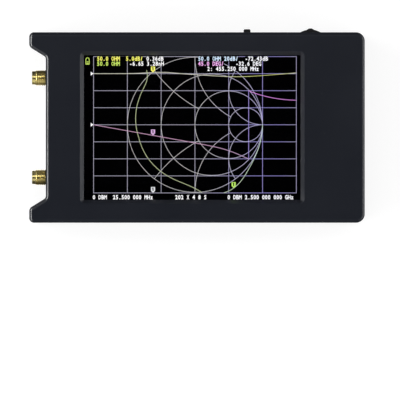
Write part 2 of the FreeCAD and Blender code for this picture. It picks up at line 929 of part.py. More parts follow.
def battery_plug():
    """Plug of the battery lead, pushed into the header."""
    margin = -header_wall - plug_fit_gap
    y = grown(span(header_shift, header_width), margin)
    z = grown((board_bottom - header_height, board_bottom), margin)
    start = header_x()[0] + header_wall
    return block((start, start + plug_length), y, z)


def lead_start_x():
    """Where the wires leave the plug."""
    return header_x()[0] + header_wall + plug_length


def lead_bend():
    """How far one bend of the lead reaches along x and along y."""
    turn = math.radians(lead_bend_angle)
    return lead_bend_radius * math.sin(turn), lead_bend_radius * (1 - math.cos(turn))


def lead_slope():
    """How far the sloping run between the two bends reaches along x and along y."""
    run = battery_left - lead_start_x() - 2 * lead_straight - 2 * lead_bend()[0]
    return run, run * math.tan(math.radians(lead_bend_angle))


def lead_shift():
    """How far in y the lead's end lies from its start."""
    return 2 * lead_bend()[1] + lead_slope()[1]


def lead_wire(y):
    """One wire of the lead: an S-bend from the plug to the end of the cell."""
    bend_step = Vector(lead_bend()[0], lead_bend()[1], 0)
    straight_step = Vector(lead_straight, 0, 0)
    first = Vector(lead_start_x(), y, battery_top - 2 * lead_radius)
    bend_in = first + straight_step
    slope_start = bend_in + bend_step
    slope_end = slope_start + Vector(lead_slope()[0], lead_slope()[1], 0)
    bend_out = slope_end + bend_step
    last = bend_out + straight_step
    half = math.radians(lead_bend_angle / 2)
    half_step = Vector(lead_bend_radius * math.sin(half), lead_bend_radius * (1 - math.cos(half)), 0)
    edges = [
        Part.makeLine(first, bend_in),
        Part.Arc(bend_in, bend_in + half_step, slope_start).toShape(),
        Part.makeLine(slope_start, slope_end),
        Part.Arc(slope_end, bend_out - half_step, bend_out).toShape(),
        Part.makeLine(bend_out, last),
    ]
    section = Part.Wire(Part.makeCircle(lead_radius, first, Vector(1, 0, 0)))
    return Part.Wire(edges).makePipeShell([section], True, False)


def battery_lead():
    """Two insulated wires from the plug to the cell."""
    return Part.makeCompound([lead_wire(y) for y in span(header_shift, lead_spacing)])


def shield_places():
    """Centres of the two shield cans, one behind each test port."""
    x = board_left + shield_port_gap + shield_length / 2
    return [(x, y) for y in span(0, shield_spacing)]


def rf_shield_frames():
    """Fences of the two shield cans, soldered under the board."""
    frames = []
    z = (board_bottom - shield_height, board_bottom)
    for x, y in shield_places():
        outer = block(span(x, shield_length), span(y, shield_width), z)
        inner_x = grown(span(x, shield_length), -shield_sheet)
        inner_y = grown(span(y, shield_width), -shield_sheet)
        frames.append(outer.cut(block(inner_x, inner_y, z)))
    return Part.makeCompound(frames)


def rf_shield_covers():
    """Pressed lids of the two shield cans, with rows of vent holes."""
    covers = []
    low = board_bottom - shield_height - shield_sheet
    for x, y in shield_places():
        inner_x = grown(span(x, shield_length), shield_skirt_gap)
        inner_y = grown(span(y, shield_width), shield_skirt_gap)
        skirt_z = (low, low + shield_sheet + shield_skirt_height)
        lid = block(grown(inner_x, shield_sheet), grown(inner_y, shield_sheet), skirt_z)
        cutters = [block(inner_x, inner_y, (low + shield_sheet, skirt_z[1]))]
        for column in range(shield_hole_columns):
            for row in range(shield_hole_rows):
                hole_x = x + (column - (shield_hole_columns - 1) / 2) * shield_hole_pitch
                hole_y = y + (row - (shield_hole_rows - 1) / 2) * shield_hole_pitch
                cutters.append(post((hole_x, hole_y), shield_hole_radius, (low, low + shield_sheet)))
        covers.append(lid.cut(cutters))
    return Part.makeCompound(covers)


def on_board(place):
    """Place on the board, given from the board's centre."""
    return (board_centre_x + place[0], place[1])


def chip(place, size, z):
    """Square chip body."""
    return block(span(place[0], size), span(place[1], size), z)


def microcontroller():
    """Large chip on top of the board with leads along its four sides."""
    x, y = on_board(controller_place)
    body = chip((x, y), controller_size, (board_top, board_top + controller_height))
    leads = []
    reach = controller_size / 2 + lead_frame_reach
    z = (board_top, board_top + lead_frame_thickness)
    for step in range(controller_leads):
        offset = (step - (controller_leads - 1) / 2) * lead_frame_pitch
        leads.append(block(span(x + offset, lead_frame_width), span(y, 2 * reach), z))
        leads.append(block(span(x, 2 * reach), span(y + offset, lead_frame_width), z))
    return body.fuse(leads)


def under_board(height):
    """Heights of a chip that hangs under the board."""
    return (board_bottom - height, board_bottom)


def clock_generator():
    """Small chip in the middle of the lower shield can."""
    return chip(shield_places()[0], clock_size, under_board(small_chip_height))


def mixer_chips():
    """Three mixer chips in a row in the upper shield can."""
    x, y = shield_places()[1]
    z = under_board(small_chip_height)
    return Part.makeCompound([chip((x + step * mixer_pitch, y), mixer_size, z) for step in (-1, 0, 1)])


def signal_converter():
    """Converter chip on top of the board."""
    return chip(on_board(converter_place), converter_size, (board_top, board_top + small_chip_height))


def charge_controller():
    """Charging chip on top of the board, near the charging socket."""
    return chip(on_board(charger_place), charger_size, (board_top, board_top + small_chip_height))


def crystals():
    """Two crystals: one beside the large chip, one beside the clock generator."""
    controller_x, controller_y = on_board(controller_place)
    top_x = controller_x - controller_size / 2 - crystal_gap
    top_z = (board_top, board_top + crystal_height)
    top = block(span(top_x, crystal_width), span(controller_y, crystal_length), top_z)
    x, y = shield_places()[0]
    low_x = x + clock_size / 2 + crystal_gap
    low = block(span(low_x, crystal_width), span(y, crystal_length), under_board(crystal_height))
    return Part.makeCompound([top, low])


def port_parts():
    """The jack, core and contact of each test port, by name."""
    parts = {}
    for name, y in port_centres().items():
        parts[name + "_jack"] = port_jack(y)
        parts[name + "_dielectric"] = port_dielectric(y)
        parts[name + "_contact"] = port_contact(y)
    return parts


makers = (
    front_cover,
    rear_cover,
    cover_screws,
    threaded_inserts,
    main_board,
    board_screws,
    display_frame,
    display_backlight,
    display_glass,
    touch_panel,
    display_gasket,
    display_support_pads,
    display_flex,
    flex_connector,
    usb_socket_shell,
    usb_socket_tongue,
    power_switch_body,
    power_switch_terminals,
    power_switch_slider,
    jog_switch_housing,
    jog_switch_plate,
    jog_plunger,
    jog_pivot_pin,
    jog_lever,
    battery_cell,
    battery_tape,
    battery_lead,
    battery_plug,
    battery_header,
    rf_shield_frames,
    rf_shield_covers,
    microcontroller,
    clock_generator,
    mixer_chips,
    signal_converter,
    charge_controller,
    crystals,
)

os.makedirs("parts", exist_ok=True)
shapes = {maker.__name__: maker() for maker in makers}
shapes.update(port_parts())
for name, shape in shapes.items():
    shape.exportStep("parts/" + name + ".step")
    box = shape.BoundBox
    corners = (box.XMin, box.XMax, box.YMin, box.YMax, box.ZMin, box.ZMax)
    places = " ".join("%.2f" % value for value in corners)
    print(name, "valid", shape.isValid(), "solids", len(shape.Solids), "volume %.2f" % shape.Volume, places)
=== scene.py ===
import math

import bmesh
import bpy
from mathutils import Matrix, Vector


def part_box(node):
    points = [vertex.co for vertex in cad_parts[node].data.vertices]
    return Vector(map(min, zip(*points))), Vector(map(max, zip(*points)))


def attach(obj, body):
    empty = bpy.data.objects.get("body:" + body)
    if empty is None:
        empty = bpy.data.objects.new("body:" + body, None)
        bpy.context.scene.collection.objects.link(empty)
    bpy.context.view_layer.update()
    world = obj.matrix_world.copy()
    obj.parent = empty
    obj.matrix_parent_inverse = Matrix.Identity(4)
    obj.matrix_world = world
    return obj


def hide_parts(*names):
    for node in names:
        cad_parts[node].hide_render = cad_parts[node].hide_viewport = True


# Hand-held antenna analyzer seen from straight above, with its display lit. Metres.

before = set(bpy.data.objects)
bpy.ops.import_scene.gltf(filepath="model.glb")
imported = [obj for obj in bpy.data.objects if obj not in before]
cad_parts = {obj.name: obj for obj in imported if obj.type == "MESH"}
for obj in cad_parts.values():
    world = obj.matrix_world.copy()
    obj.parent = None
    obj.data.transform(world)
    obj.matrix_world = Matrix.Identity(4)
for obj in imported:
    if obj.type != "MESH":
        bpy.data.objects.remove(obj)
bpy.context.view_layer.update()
mm = 0.001

# View and light
view_centre = (1.17 * mm, -28.2 * mm)
view_width = 155.6 * mm
view_height = 20.0 * mm
lens_length = 1000.0
sensor_width = 36.0
floor_size = 8.0
floor_drop = 0.1 * mm
floor_tone = 0.36
floor_glow = 0.79
softbox_distance = 0.9

# Azimuth and elevation in degrees, size in metres and level of each lamp
softboxes = {
    "left_softbox": (180.0, 29.0, (1.20, 0.11), 0.42),
    "right_softbox": (0.0, 14.0, (1.20, 0.25), 0.20),
    "back_softbox": (90.0, 70.0, (1.20, 0.30), 0.19),
    "front_softbox": (-90.0, 42.0, (1.20, 0.90), 0.15),
    "floor_bounce": (-90.0, -90.0, (0.80, 0.80), 0.60),
}

# Level of the surroundings from straight below, at 0, to straight above, at 1
sky_levels = ((0.0, 0.12), (0.12, 0.12), (0.25, 0.32), (0.40, 0.52))
sky_levels += ((0.48, 0.95), (0.675, 0.45), (0.85, 0.12), (0.985, 0.008))
sky_base = 0.38
sky_sideways = 0.52
sky_rightward = 0.05
sky_forward = -0.12

# Plot area of the display
plot_left = -40.25 * mm
plot_top = 27.6 * mm
plot_columns = 6
plot_rows = 8
column_pitch = 13.15 * mm
row_pitch = 6.63 * mm
dot_pitch = 0.174 * mm
line_gap = 0.35
letter_gap = 0.12
picture_thickness = 0.012 * mm
picture_inset = 0.2 * mm
window_reach = 31.0 * mm
layer_step = 0.02 * mm
line_width = 0.175 * mm
trace_width = 0.20 * mm

# Heights of the picture's layers
display_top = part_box("display_glass")[1].z
mask_height = display_top + 0.002 * mm
grid_height = display_top + layer_step
chart_height = grid_height + 2 * layer_step
trace_height = chart_height + layer_step
letter_height = trace_height + 2 * layer_step

# Lettering of the display
letter_pitch = 1.12 * mm
letter_size = 2.25 * mm
letter_narrowing = 0.84
letter_fill = 0.92
letter_weight = 0.034
cell_below = 0.16 * mm
cell_above = 1.62 * mm

# Markers, reference triangles and battery sign of the display
marker_column = 1.76
shield_half = 0.80 * mm
shield_tall = 2.3 * mm
shield_point = 0.8 * mm
number_half = 0.19 * mm
number_low = 0.80 * mm
number_high = 2.05 * mm
number_flag = 0.24 * mm
pointer_half = 0.75 * mm
pointer_length = 1.1 * mm
sign_place = (-0.178, 0.29)
sign_half_width = 0.66 * mm
sign_half_height = 1.08 * mm
sign_cap = 0.36 * mm
sign_line = 0.24 * mm
charge_half = 0.40 * mm
charge_line = 0.30 * mm
charge_first = 0.40 * mm
charge_step = 0.55 * mm

# Columns between which the display's light drifts to its right-hand colour, and partly back
tone_rise = (3.2, 4.8)
tone_fall = (5.5, 6.0)
tone_fall_share = 0.7

# Round chart: its circles' resistances, and each arc's reactance with how far it runs
chart_radius = 2 * column_pitch
full_arc_reach = 4.0
arc_end = 1.0001
chart_circles = (0.0, 1 / 3, 1.0, 3.0)
chart_arcs = ((0.5, 1.0), (1.0, 3.0), (2.0, full_arc_reach))
arc_layer = 0.2
cell_layer = 0.7
circle_steps = 96
arc_steps = 40

# Measured traces, in columns and rows of the plot and in shares of the sweep
gain_row = 1.0
gain_rise, gain_rise_column, gain_rise_width = 0.085, 2.0, 0.55
gain_sag, gain_sag_column, gain_sag_width = 0.18, 4.25, 1.2
gain_end_rise, gain_end_power = 0.07, 12
phase_slope = 0.355
phase_step, phase_step_column, phase_step_width = 0.56, 4.4, 0.26
phase_lift, phase_lift_column = 0.2, 5.2
phase_limit = 2.0
wrap_search_step = 0.01
polar_turn = 228.5
polar_pace = 1.11
polar_bulge, polar_bulge_place, polar_bulge_width = 0.10, 0.27, 0.09
polar_hollow, polar_hollow_place, polar_hollow_width = 0.148, 0.36, 0.05
polar_return, polar_return_place = 0.36, 0.73
polar_hook, polar_hook_power = 0.13, 60
trace_steps = 60
late_trace_steps = 30
polar_steps = 160

# Threaded jacks
jack_axis_height = 11.0 * mm
jack_axis_spread = 19.4 * mm
jack_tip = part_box("port_one_jack")[0].x
jack_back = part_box("port_one_dielectric")[1].x
jack_neck_radius = 2.65 * mm
jack_neck_length = 1.3 * mm
jack_thread_radius = 3.1 * mm
jack_thread_depth = 0.30 * mm
jack_root_radius = jack_thread_radius - jack_thread_depth
jack_crest_width = 0.24 * mm
jack_thread_pitch = 0.7056 * mm
jack_thread_turns = 6
jack_thread_start = jack_tip + jack_neck_length
jack_thread_length = jack_thread_turns * jack_thread_pitch
jack_bore_radius = 2.3 * mm
jack_bore_depth = 1.9 * mm
jack_core_radius = 2.05 * mm
jack_lip = 0.12 * mm
jack_flange_front = jack_back - 1.6 * mm
jack_flange_size = 6.35 * mm
jack_leg_size = 1.0 * mm
jack_leg_length = 4.0 * mm
jack_leg_round = 0.08 * mm

# Centre contacts of the jacks
contact_radius = 0.635 * mm
contact_hole_radius = 0.47 * mm
contact_hole_depth = 2.6 * mm
contact_slit_width = 0.14 * mm
contact_slit_depth = 2.0 * mm
contact_pin_radius = 0.38 * mm
contact_pin_length = 1.6 * mm

# Screws
screw_radius = 1.0 * mm
screw_thread_pitch = 0.5 * mm
screw_thread_depth = 0.16 * mm
screw_crest_width = 0.05 * mm
screw_head_radius = 1.9 * mm
screw_head_height = 1.2 * mm
screw_head_round = 0.35 * mm
screw_tip_length = 0.4 * mm
drive_length = 2.2 * mm
drive_width = 0.55 * mm
drive_depth = 0.7 * mm
drive_taper = 0.6
drive_overshoot = 0.1 * mm

# Contacts of the charging socket and ribs of the power knob
socket_contacts = 12
socket_contact_pitch = 0.5 * mm
socket_contact_inset = 0.25 * mm
socket_contact_size = (0.27 * mm, 3.6 * mm, 0.03 * mm)
knob_ribs = 4
knob_rib_pitch = 0.5 * mm
knob_rib_radius = 0.13 * mm
knob_ribs_low = jack_axis_height + 0.55 * mm
knob_ribs_high = jack_axis_height + 2.05 * mm

round_segments = 96
screw_segments = 24
contact_segments = 36
flange_segments = 48
jack_rings_per_turn = 20
screw_rings_per_turn = 6
head_round_steps = 4
thread_run_out = 0.7
metal_sharp_angle = 30.0
merge_distance = 1e-8
hair = 1e-6

# Battery lead and chips
lead_step = 3 * mm
lead_middle = 1.5 * mm
chip_lead_height = 0.21 * mm
chip_lead_sink = 0.02 * mm


class Value:
    """Output of a node that plain formulas can use."""

    def __init__(self, tree, socket):
        self.tree = tree
        self.socket = socket

    def __add__(self, other):
        return maths("ADD", self, other)

    def __sub__(self, other):
        return maths("SUBTRACT", self, other)

    def __rsub__(self, other):
        return maths("SUBTRACT", other, self)

    def __mul__(self, other):
        return maths("MULTIPLY", self, other)

    def __truediv__(self, other):
        return maths("DIVIDE", self, other)

    def __rtruediv__(self, other):
        return maths("DIVIDE", other, self)

    def __mod__(self, other):
        return maths("MODULO", self, other)

    def __gt__(self, other):
        return maths("GREATER_THAN", self, other)

    def __lt__(self, other):
        return maths("LESS_THAN", self, other)

    def __abs__(self):
        return maths("ABSOLUTE", self)


def feed(node, name, value):
    """Gives a node's input a plain value, or joins it to another node's output."""
    if isinstance(value, Value):
        value.tree.links.new(value.socket, node.inputs[name])
    else:
        node.inputs[name].default_value = value


def add(tree, kind, inputs=None, **settings):
    """A new node with its settings and inputs."""
    node = tree.nodes.new(kind)
    for name, value in settings.items():
        setattr(node, name, value)
    for name, value in (inputs or {}).items():
        feed(node, name, value)
    return node


def output(tree, kind, name, inputs=None, **settings):
    """What a new node gives at one of its outputs."""
    return Value(tree, add(tree, kind, inputs, **settings).outputs[name])


def outputs_of(tree, node):
    """All that a node gives, by name."""
    return {socket.name: Value(tree, socket) for socket in node.outputs}


def maths(operation, first, second=0.0, clamp=False):
    """Result of a math node, of whose two inputs one at least is a node's output."""
    tree = (first if isinstance(first, Value) else second).tree
    inputs = {0: first, 1: second}
    return output(tree, "ShaderNodeMath", 0, inputs, operation=operation, use_clamp=clamp)


def spread(value, low, high, to_low=0.0, to_high=1.0, **settings):
    """A value carried from one range to another, held at both ends."""
    inputs = {"Value": value, "From Min": low, "From Max": high, "To Min": to_low, "To Max": to_high}
    return output(value.tree, "ShaderNodeMapRange", "Result", inputs, **settings)


def blended(factor, first, second):
    """Colour between two colours."""
    return output(factor.tree, "ShaderNodeMix", 2, {"Factor": factor, 6: first, 7: second}, data_type="RGBA")


def dot(first, second):
    """Dot product of two directions."""
    return output(first.tree, "ShaderNodeVectorMath", "Value", {0: first, 1: second}, operation="DOT_PRODUCT")


def parts(vector):
    """The three parts of a vector."""
    split = add(vector.tree, "ShaderNodeSeparateXYZ", {0: vector})
    return [Value(vector.tree, socket) for socket in split.outputs]


def object_place(tree):
    """Place on the object, in its own metres."""
    return output(tree, "ShaderNodeTexCoord", "Object")


def facing_up(tree):
    """How far a surface faces up, from minus one to one."""
    return parts(output(tree, "ShaderNodeNewGeometry", "Normal"))[2]


def noise(vector, size, detail):
    """Soft noise with features of one size."""
    inputs = {"Vector": vector, "Scale": 1.0 / size, "Detail": detail}
    return output(vector.tree, "ShaderNodeTexNoise", "Fac", inputs)


def tone(red, green, blue):
    """Opaque colour."""
    return (red, green, blue, 1.0)


def grey(level):
    """Opaque grey."""
    return tone(level, level, level)


black = grey(0.0)
white = grey(1.0)


def new_effect(name, inputs, outputs):
    """Empty shader group, what it is given, and its end node."""
    tree = bpy.data.node_groups.new(name, "ShaderNodeTree")
    for label, value in inputs.items():
        kind = "NodeSocketVector" if isinstance(value, tuple) else "NodeSocketFloat"
        tree.interface.new_socket(label, in_out="INPUT", socket_type=kind).default_value = value
    for label in outputs:
        tree.interface.new_socket(label, in_out="OUTPUT", socket_type="NodeSocketFloat")
    start = tree.nodes.new("NodeGroupInput")
    return tree, outputs_of(tree, start), tree.nodes.new("NodeGroupOutput")


def grain_effect():
    """Moulded or cast grain: a fine height and a slow drift of tone."""
    tree, given, end = new_effect("grain", {"Size": 0.3 * mm, "Drift Size": 30 * mm}, ("Height", "Drift"))
    place = object_place(tree)
    feed(end, "Height", spread(noise(place, given["Size"], 2.0), 0.3, 0.7))
    feed(end, "Drift", spread(noise(place, given["Drift Size"], 3.0), 0.3, 0.7))
    return tree


def edge_wear_effect():
    """Mask that is high along outer edges, broken up as by handling."""
    tree, given, end = new_effect("edge wear", {"Width": 0.4 * mm, "Patch Size": 4 * mm}, ("Mask",))
    softened = output(tree, "ShaderNodeBevel", "Normal", {"Radius": given["Width"]}, samples=4)
    edge = spread(dot(softened, output(tree, "ShaderNodeNewGeometry", "Normal")), 0.995, 0.86)
    broken = spread(noise(object_place(tree), given["Patch Size"], 4.0), 0.38, 0.62, 0.25, 1.0)
    feed(end, "Mask", edge * broken)
    return tree


def held_edges_effect():
    """Masks of the rims that hands polish, at both ends and round the window, and of the plain other rims."""
    inputs = {"Inner Limit": 50 * mm, "Right Share": 0.3, "Window Share": 0.5}
    tree, given, end = new_effect("held edges", inputs, ("Mask", "Plain Rim"))
    normal = parts(output(tree, "ShaderNodeTexCoord", "Normal"))
    squares = [part * part for part in normal]
    fourths = [square * square for square in squares]
    level_part = squares[0] + squares[1]
    rounded = spread(fourths[0] + fourths[1] + fourths[2], 0.96, 0.72)
    sideways = spread(squares[0] / (level_part + 1e-4), 0.10, 0.25)
    upper = spread(normal[2], 0.60, 0.76)
    across, along = parts(object_place(tree))[:2]
    outside = abs(across) > given["Inner Limit"]
    share = 1.0 - (across > 0.0) * (1.0 - given["Right Share"])
    held = sideways * upper * outside * share
    around_window = (1.0 - outside) * (abs(along) < window_reach)
    facing = (normal[0] < 0.3) * (normal[2] > 0.3)
    framed = around_window * facing * given["Window Share"]
    feed(end, "Mask", rounded * (held + framed))
    raised_side = spread(level_part, 0.02, 0.12)
    feed(end, "Plain Rim", (1.0 - sideways) * (raised_side * (1.0 - around_window)))
    return tree


def tool_marks_effect():
    """Fine parallel tool marks along one direction."""
    inputs = {"Pitch": 0.1 * mm, "Direction": (1.0, 0.0, 0.0)}
    tree, given, end = new_effect("tool marks", inputs, ("Height",))
    steps = dot(object_place(tree), given["Direction"]) / given["Pitch"]
    lines = {"W": steps, "Scale": 1.0, "Detail": 2.0}
    feed(end, "Height", output(tree, "ShaderNodeTexNoise", "Fac", lines, noise_dimensions="1D"))
    return tree


def dust_effect():
    """Sparse pale specks, mostly on surfaces that face up."""
    tree, given, end = new_effect("dust", {"Speck Size": 0.8 * mm, "Amount": 0.2}, ("Mask",))
    inputs = {"Vector": object_place(tree), "Scale": 1.0 / given["Speck Size"]}
    cells = outputs_of(tree, add(tree, "ShaderNodeTexVoronoi", inputs))
    chosen = parts(cells["Color"])[0] < given["Amount"] * 0.1
    speck = spread(cells["Distance"], 0.12, 0.05)
    feed(end, "Mask", speck * chosen * spread(facing_up(tree), 0.2, 0.9))
    return tree


def display_dots_effect():
    """Brightness of the display's square dots and their gaps, and a drift across the display."""
    inputs = {"Pitch": dot_pitch, "Gap": 0.5}
    tree, given, end = new_effect("display dots", inputs, ("Brightness", "Across"))
    place = parts(object_place(tree))
    lit = [spread(abs(maths("FRACT", part / given["Pitch"]) - 0.5), 0.48, 0.40) for part in place[:2]]
    feed(end, "Brightness", (1.0 - given["Gap"]) + lit[0] * lit[1] * given["Gap"])
    rise_ends = [plot_left + column * column_pitch for column in tone_rise]
    fall_ends = [plot_left + column * column_pitch for column in tone_fall]
    rise = spread(place[0], *rise_ends)
    fall = spread(place[0], *fall_ends, 0.0, tone_fall_share)
    feed(end, "Across", rise - fall)
    return tree


grain = grain_effect()
edge_wear = edge_wear_effect()
tool_marks = tool_marks_effect()
held_edges = held_edges_effect()
dust = dust_effect()
display_dots = display_dots_effect()


def effect(tree, group, **values):
    """What a shared effect gives in a material, for the material's own values."""
    node = add(tree, "ShaderNodeGroup", node_tree=group)
    for label, value in values.items():
        feed(node, label.replace("_", " "), value)
    return outputs_of(tree, node)


def new_finish(name, **constants):
    """Material with its tree and its shader, whose plain values are set on its own sockets."""
    material = bpy.data.materials.new(name)
    material.use_nodes = True
    shader = material.node_tree.nodes["Principled BSDF"]
    for label, value in constants.items():
        feed(shader, label.replace("_", " "), value)
    return material, material.node_tree, shader


def surface(shader, colour, roughness, height, relief, strength=1.0):
    """Gives a shader its colour, its roughness and the relief of a height."""
    feed(shader, "Base Color", colour)
    feed(shader, "Roughness", roughness)
    bump = {"Height": height, "Distance": relief, "Strength": strength}
    feed(shader, "Normal", output(height.tree, "ShaderNodeBump", "Normal", bump))


def grained(name, grain_size, drift_size, dark, light, roughness, relief, strength=1.0, **constants):
    """Material whose tone drifts between two colours over a fine grain."""
    material, tree, shader = new_finish(name, **constants)
    skin = effect(tree, grain, Size=grain_size, Drift_Size=drift_size)
    rough = spread(skin["Height"], 0.0, 1.0, *roughness)
    surface(shader, blended(skin["Drift"], dark, light), rough, skin["Height"], relief, strength)
    return material


def moulded_plastic(name, dark, light, rough, grain_size, relief, dust_amount):
    """Moulded plastic with fine grain, slightly polished edges and a little dust."""
    material, tree, shader = new_finish(name, IOR=1.37, Coat_Roughness=0.19, Coat_IOR=1.65)
    skin = effect(tree, grain, Size=grain_size, Drift_Size=35 * mm)
    worn = effect(tree, edge_wear, Width=0.35 * mm, Patch_Size=5 * mm)["Mask"]
    specks = effect(tree, dust, Speck_Size=1.1 * mm, Amount=dust_amount)["Mask"]
    edges = effect(tree, held_edges, Inner_Limit=50 * mm, Right_Share=0.14, Window_Share=0.9)
    rubbed = tone(*(3.0 * part for part in light[:3]))
    polished = blended(worn * 0.45, blended(skin["Drift"], dark, light), rubbed)
    colour = blended(specks * 0.35, polished, tone(0.30, 0.29, 0.27))
    even = spread(skin["Drift"], 0.0, 1.0, rough - 0.03, rough + 0.03)
    surface(shader, colour, even - worn * 0.10 + edges["Plain Rim"] * 0.45, skin["Height"], relief)
    feed(shader, "Coat Weight", edges["Mask"])
    return material


def case_plastic():
    """Fine-grained black plastic of the two shells, with a slight blue cast."""
    dark = tone(0.0049, 0.0068, 0.0128)
    light = tone(0.0062, 0.0082, 0.0146)
    return moulded_plastic("case_plastic_finish", dark, light, 0.42, 0.32 * mm, 0.006 * mm, 0.10)


def control_plastic():
    """Smoother black plastic of the knob, the lever and the plunger."""
    dark = tone(0.0070, 0.0072, 0.0085)
    light = tone(0.0095, 0.0097, 0.0112)
    return moulded_plastic("control_plastic_finish", dark, light, 0.38, 0.18 * mm, 0.004 * mm, 0.05)


def socket_plastic():
    """Black heat-proof plastic of the connectors."""
    dark = tone(0.0120, 0.0120, 0.0125)
    light = tone(0.0165, 0.0165, 0.0170)
    return moulded_plastic("socket_plastic_finish", dark, light, 0.50, 0.12 * mm, 0.003 * mm, 0.0)


def plug_plastic():
    """Natural nylon of the battery plug and its header."""
    tones = (tone(0.62, 0.59, 0.50), tone(0.72, 0.69, 0.60))
    return grained("plug_plastic_finish", 0.25 * mm, 6 * mm, *tones, (0.36, 0.44), 0.004 * mm, IOR=1.50)


def port_core():
    """White fluoropolymer core of the jacks."""
    tones = (tone(0.78, 0.78, 0.75), tone(0.87, 0.87, 0.85))
    depth = {"IOR": 1.35, "Subsurface_Weight": 0.15, "Subsurface_Scale": 0.8 * mm}
    return grained("port_core_finish", 0.15 * mm, 1.5 * mm, *tones, (0.42, 0.55), 0.002 * mm, **depth)


def backlight_plastic():
    """Milky light guide behind the display."""
    tones = (tone(0.80, 0.82, 0.84), tone(0.88, 0.89, 0.90))
    return grained("backlight_plastic_finish", 0.3 * mm, 15 * mm, *tones, (0.30, 0.42), 0.003 * mm, IOR=1.49)


def pouch_foil():
    """Silver laminate of the battery pouch, slightly crinkled."""
    tones = (tone(0.60, 0.61, 0.62), tone(0.74, 0.75, 0.76))
    rough = (0.28, 0.40)
    return grained("pouch_foil_finish", 2.5 * mm, 14 * mm, *tones, rough, 0.10 * mm, 0.6, Metallic=0.85)


def metal(name, dark, light, worn_tone, rough, pitch, direction, relief):
    """Metal with fine tool marks, a drift of tone and brighter edges."""
    material, tree, shader = new_finish(name, Metallic=1.0)
    marks = effect(tree, tool_marks, Pitch=pitch, Direction=direction)["Height"]
    drift = effect(tree, grain, Size=0.5 * mm, Drift_Size=7 * mm)["Drift"]
    worn = effect(tree, edge_wear, Width=0.12 * mm, Patch_Size=2 * mm)["Mask"]
    colour = blended(worn * 0.6, blended(drift, dark, light), worn_tone)
    surface(shader, colour, spread(marks, 0.2, 0.8, rough - 0.07, rough + 0.09), marks, relief)
    return material


def port_gold():
    """Gold plating over turned brass, with painted shade darkening the roots of the thread."""
    tones = (tone(0.93, 0.78, 0.30), tone(0.98, 0.86, 0.40), tone(1.0, 0.93, 0.62))
    material = metal("port_gold_finish", *tones, 0.22, 0.06 * mm, (1.0, 0.0, 0.0), 0.002 * mm)
    tree = material.node_tree
    shader = tree.nodes["Principled BSDF"]
    clean = Value(tree, shader.inputs["Base Color"].links[0].from_socket)
    x, y, z = parts(object_place(tree))
    across = abs(y) - jack_axis_spread
    up = z - jack_axis_height
    radius = maths("SQRT", across * across + up * up)
    in_root = spread(radius, jack_thread_radius - 0.08 * mm, jack_root_radius + 0.03 * mm)
    behind_neck = x > jack_thread_start
    # painted shade: the thread's roots behind the neck are darkened toward brown, where shade falls between
    # the crests
    root_shade = in_root * behind_neck * (radius > jack_root_radius - 0.01 * mm)
    feed(shader, "Base Color", blended(root_shade * 0.30, clean, tone(0.30, 0.18, 0.04)))
    return material


def screw_steel():
    """Blackened steel of the screws, rubbed bright in places."""
    tones = (tone(0.075, 0.075, 0.082), tone(0.13, 0.13, 0.14), tone(0.46, 0.46, 0.48))
    return metal("screw_steel_finish", *tones, 0.38, 0.05 * mm, (0.7, 0.7, 0.0), 0.002 * mm)


def sheet_steel():
    """Tin-plated sheet of the shields, the socket and the display tray."""
    tones = (tone(0.50, 0.50, 0.49), tone(0.63, 0.63, 0.61), tone(0.80, 0.80, 0.78))
    return metal("sheet_steel_finish", *tones, 0.30, 0.09 * mm, (1.0, 0.0, 0.0), 0.002 * mm)


def contact_metal():
    """Gold-flashed spring metal of the contacts and terminals."""
    tones = (tone(0.62, 0.46, 0.20), tone(0.78, 0.60, 0.28), tone(0.93, 0.76, 0.42))
    return metal("contact_metal_finish", *tones, 0.26, 0.04 * mm, (0.0, 1.0, 0.0), 0.001 * mm)


def insert_brass():
    """Knurled brass of the threaded inserts."""
    tones = (tone(0.56, 0.38, 0.14), tone(0.72, 0.52, 0.22), tone(0.88, 0.70, 0.38))
    return metal("insert_brass_finish", *tones, 0.28, 0.25 * mm, (0.6, 0.6, 0.5), 0.03 * mm)


def board_laminate():
    """Green solder mask over copper tracks, with the bare edge of the laminate."""
    material, tree, shader = new_finish("board_laminate_finish", Coat_Weight=0.4, Coat_Roughness=0.12)
    bricks = {"Vector": object_place(tree), "Scale": 180.0, "Mortar Size": 0.06, "Mortar Smooth": 0.2}
    copper = spread(output(tree, "ShaderNodeTexBrick", "Fac", bricks), 0.3, 0.7)
    skin = effect(tree, grain, Size=0.4 * mm, Drift_Size=20 * mm)
    mask_green = blended(skin["Drift"], tone(0.006, 0.055, 0.022), tone(0.010, 0.075, 0.030))
    over_copper = blended(copper, mask_green, tone(0.030, 0.150, 0.050))
    on_face = spread(abs(facing_up(tree)), 0.4, 0.6)
    edge_tone = blended(skin["Height"], tone(0.30, 0.27, 0.13), tone(0.42, 0.38, 0.20))
    rough = spread(skin["Height"], 0.0, 1.0, 0.30, 0.38)
    surface(shader, blended(on_face, edge_tone, over_copper), rough, copper, 0.02 * mm, 0.5)
    return material


def display_glass():
    """Unlit dots of the display behind its glass."""
    material, tree, shader = new_finish("display_glass_finish", IOR=1.06, Emission_Strength=1.0)
    dots = effect(tree, display_dots, Pitch=dot_pitch, Gap=0.6)["Brightness"]
    feed(shader, "Emission Color", blended(dots, black, tone(0.0001, 0.0001, 0.00025)))
    feed(shader, "Base Color", blended(dots, tone(0.0002, 0.0002, 0.0003), tone(0.0004, 0.0004, 0.0006)))
    feed(shader, "Roughness", spread(dots, 0.4, 1.0, 0.30, 0.20))
    return material


def touch_glass():
    """Clear coated glass of the touch panel, with faint finger haze."""
    clear = {"IOR": 1.40, "Transmission_Weight": 1.0, "Base_Color": tone(0.98, 0.985, 0.98)}
    material, tree, shader = new_finish("touch_glass_finish", **clear)
    haze = effect(tree, grain, Size=9 * mm, Drift_Size=22 * mm)["Drift"]
    feed(shader, "Roughness", spread(haze, 0.2, 1.0, 0.0, 0.025))
    return material


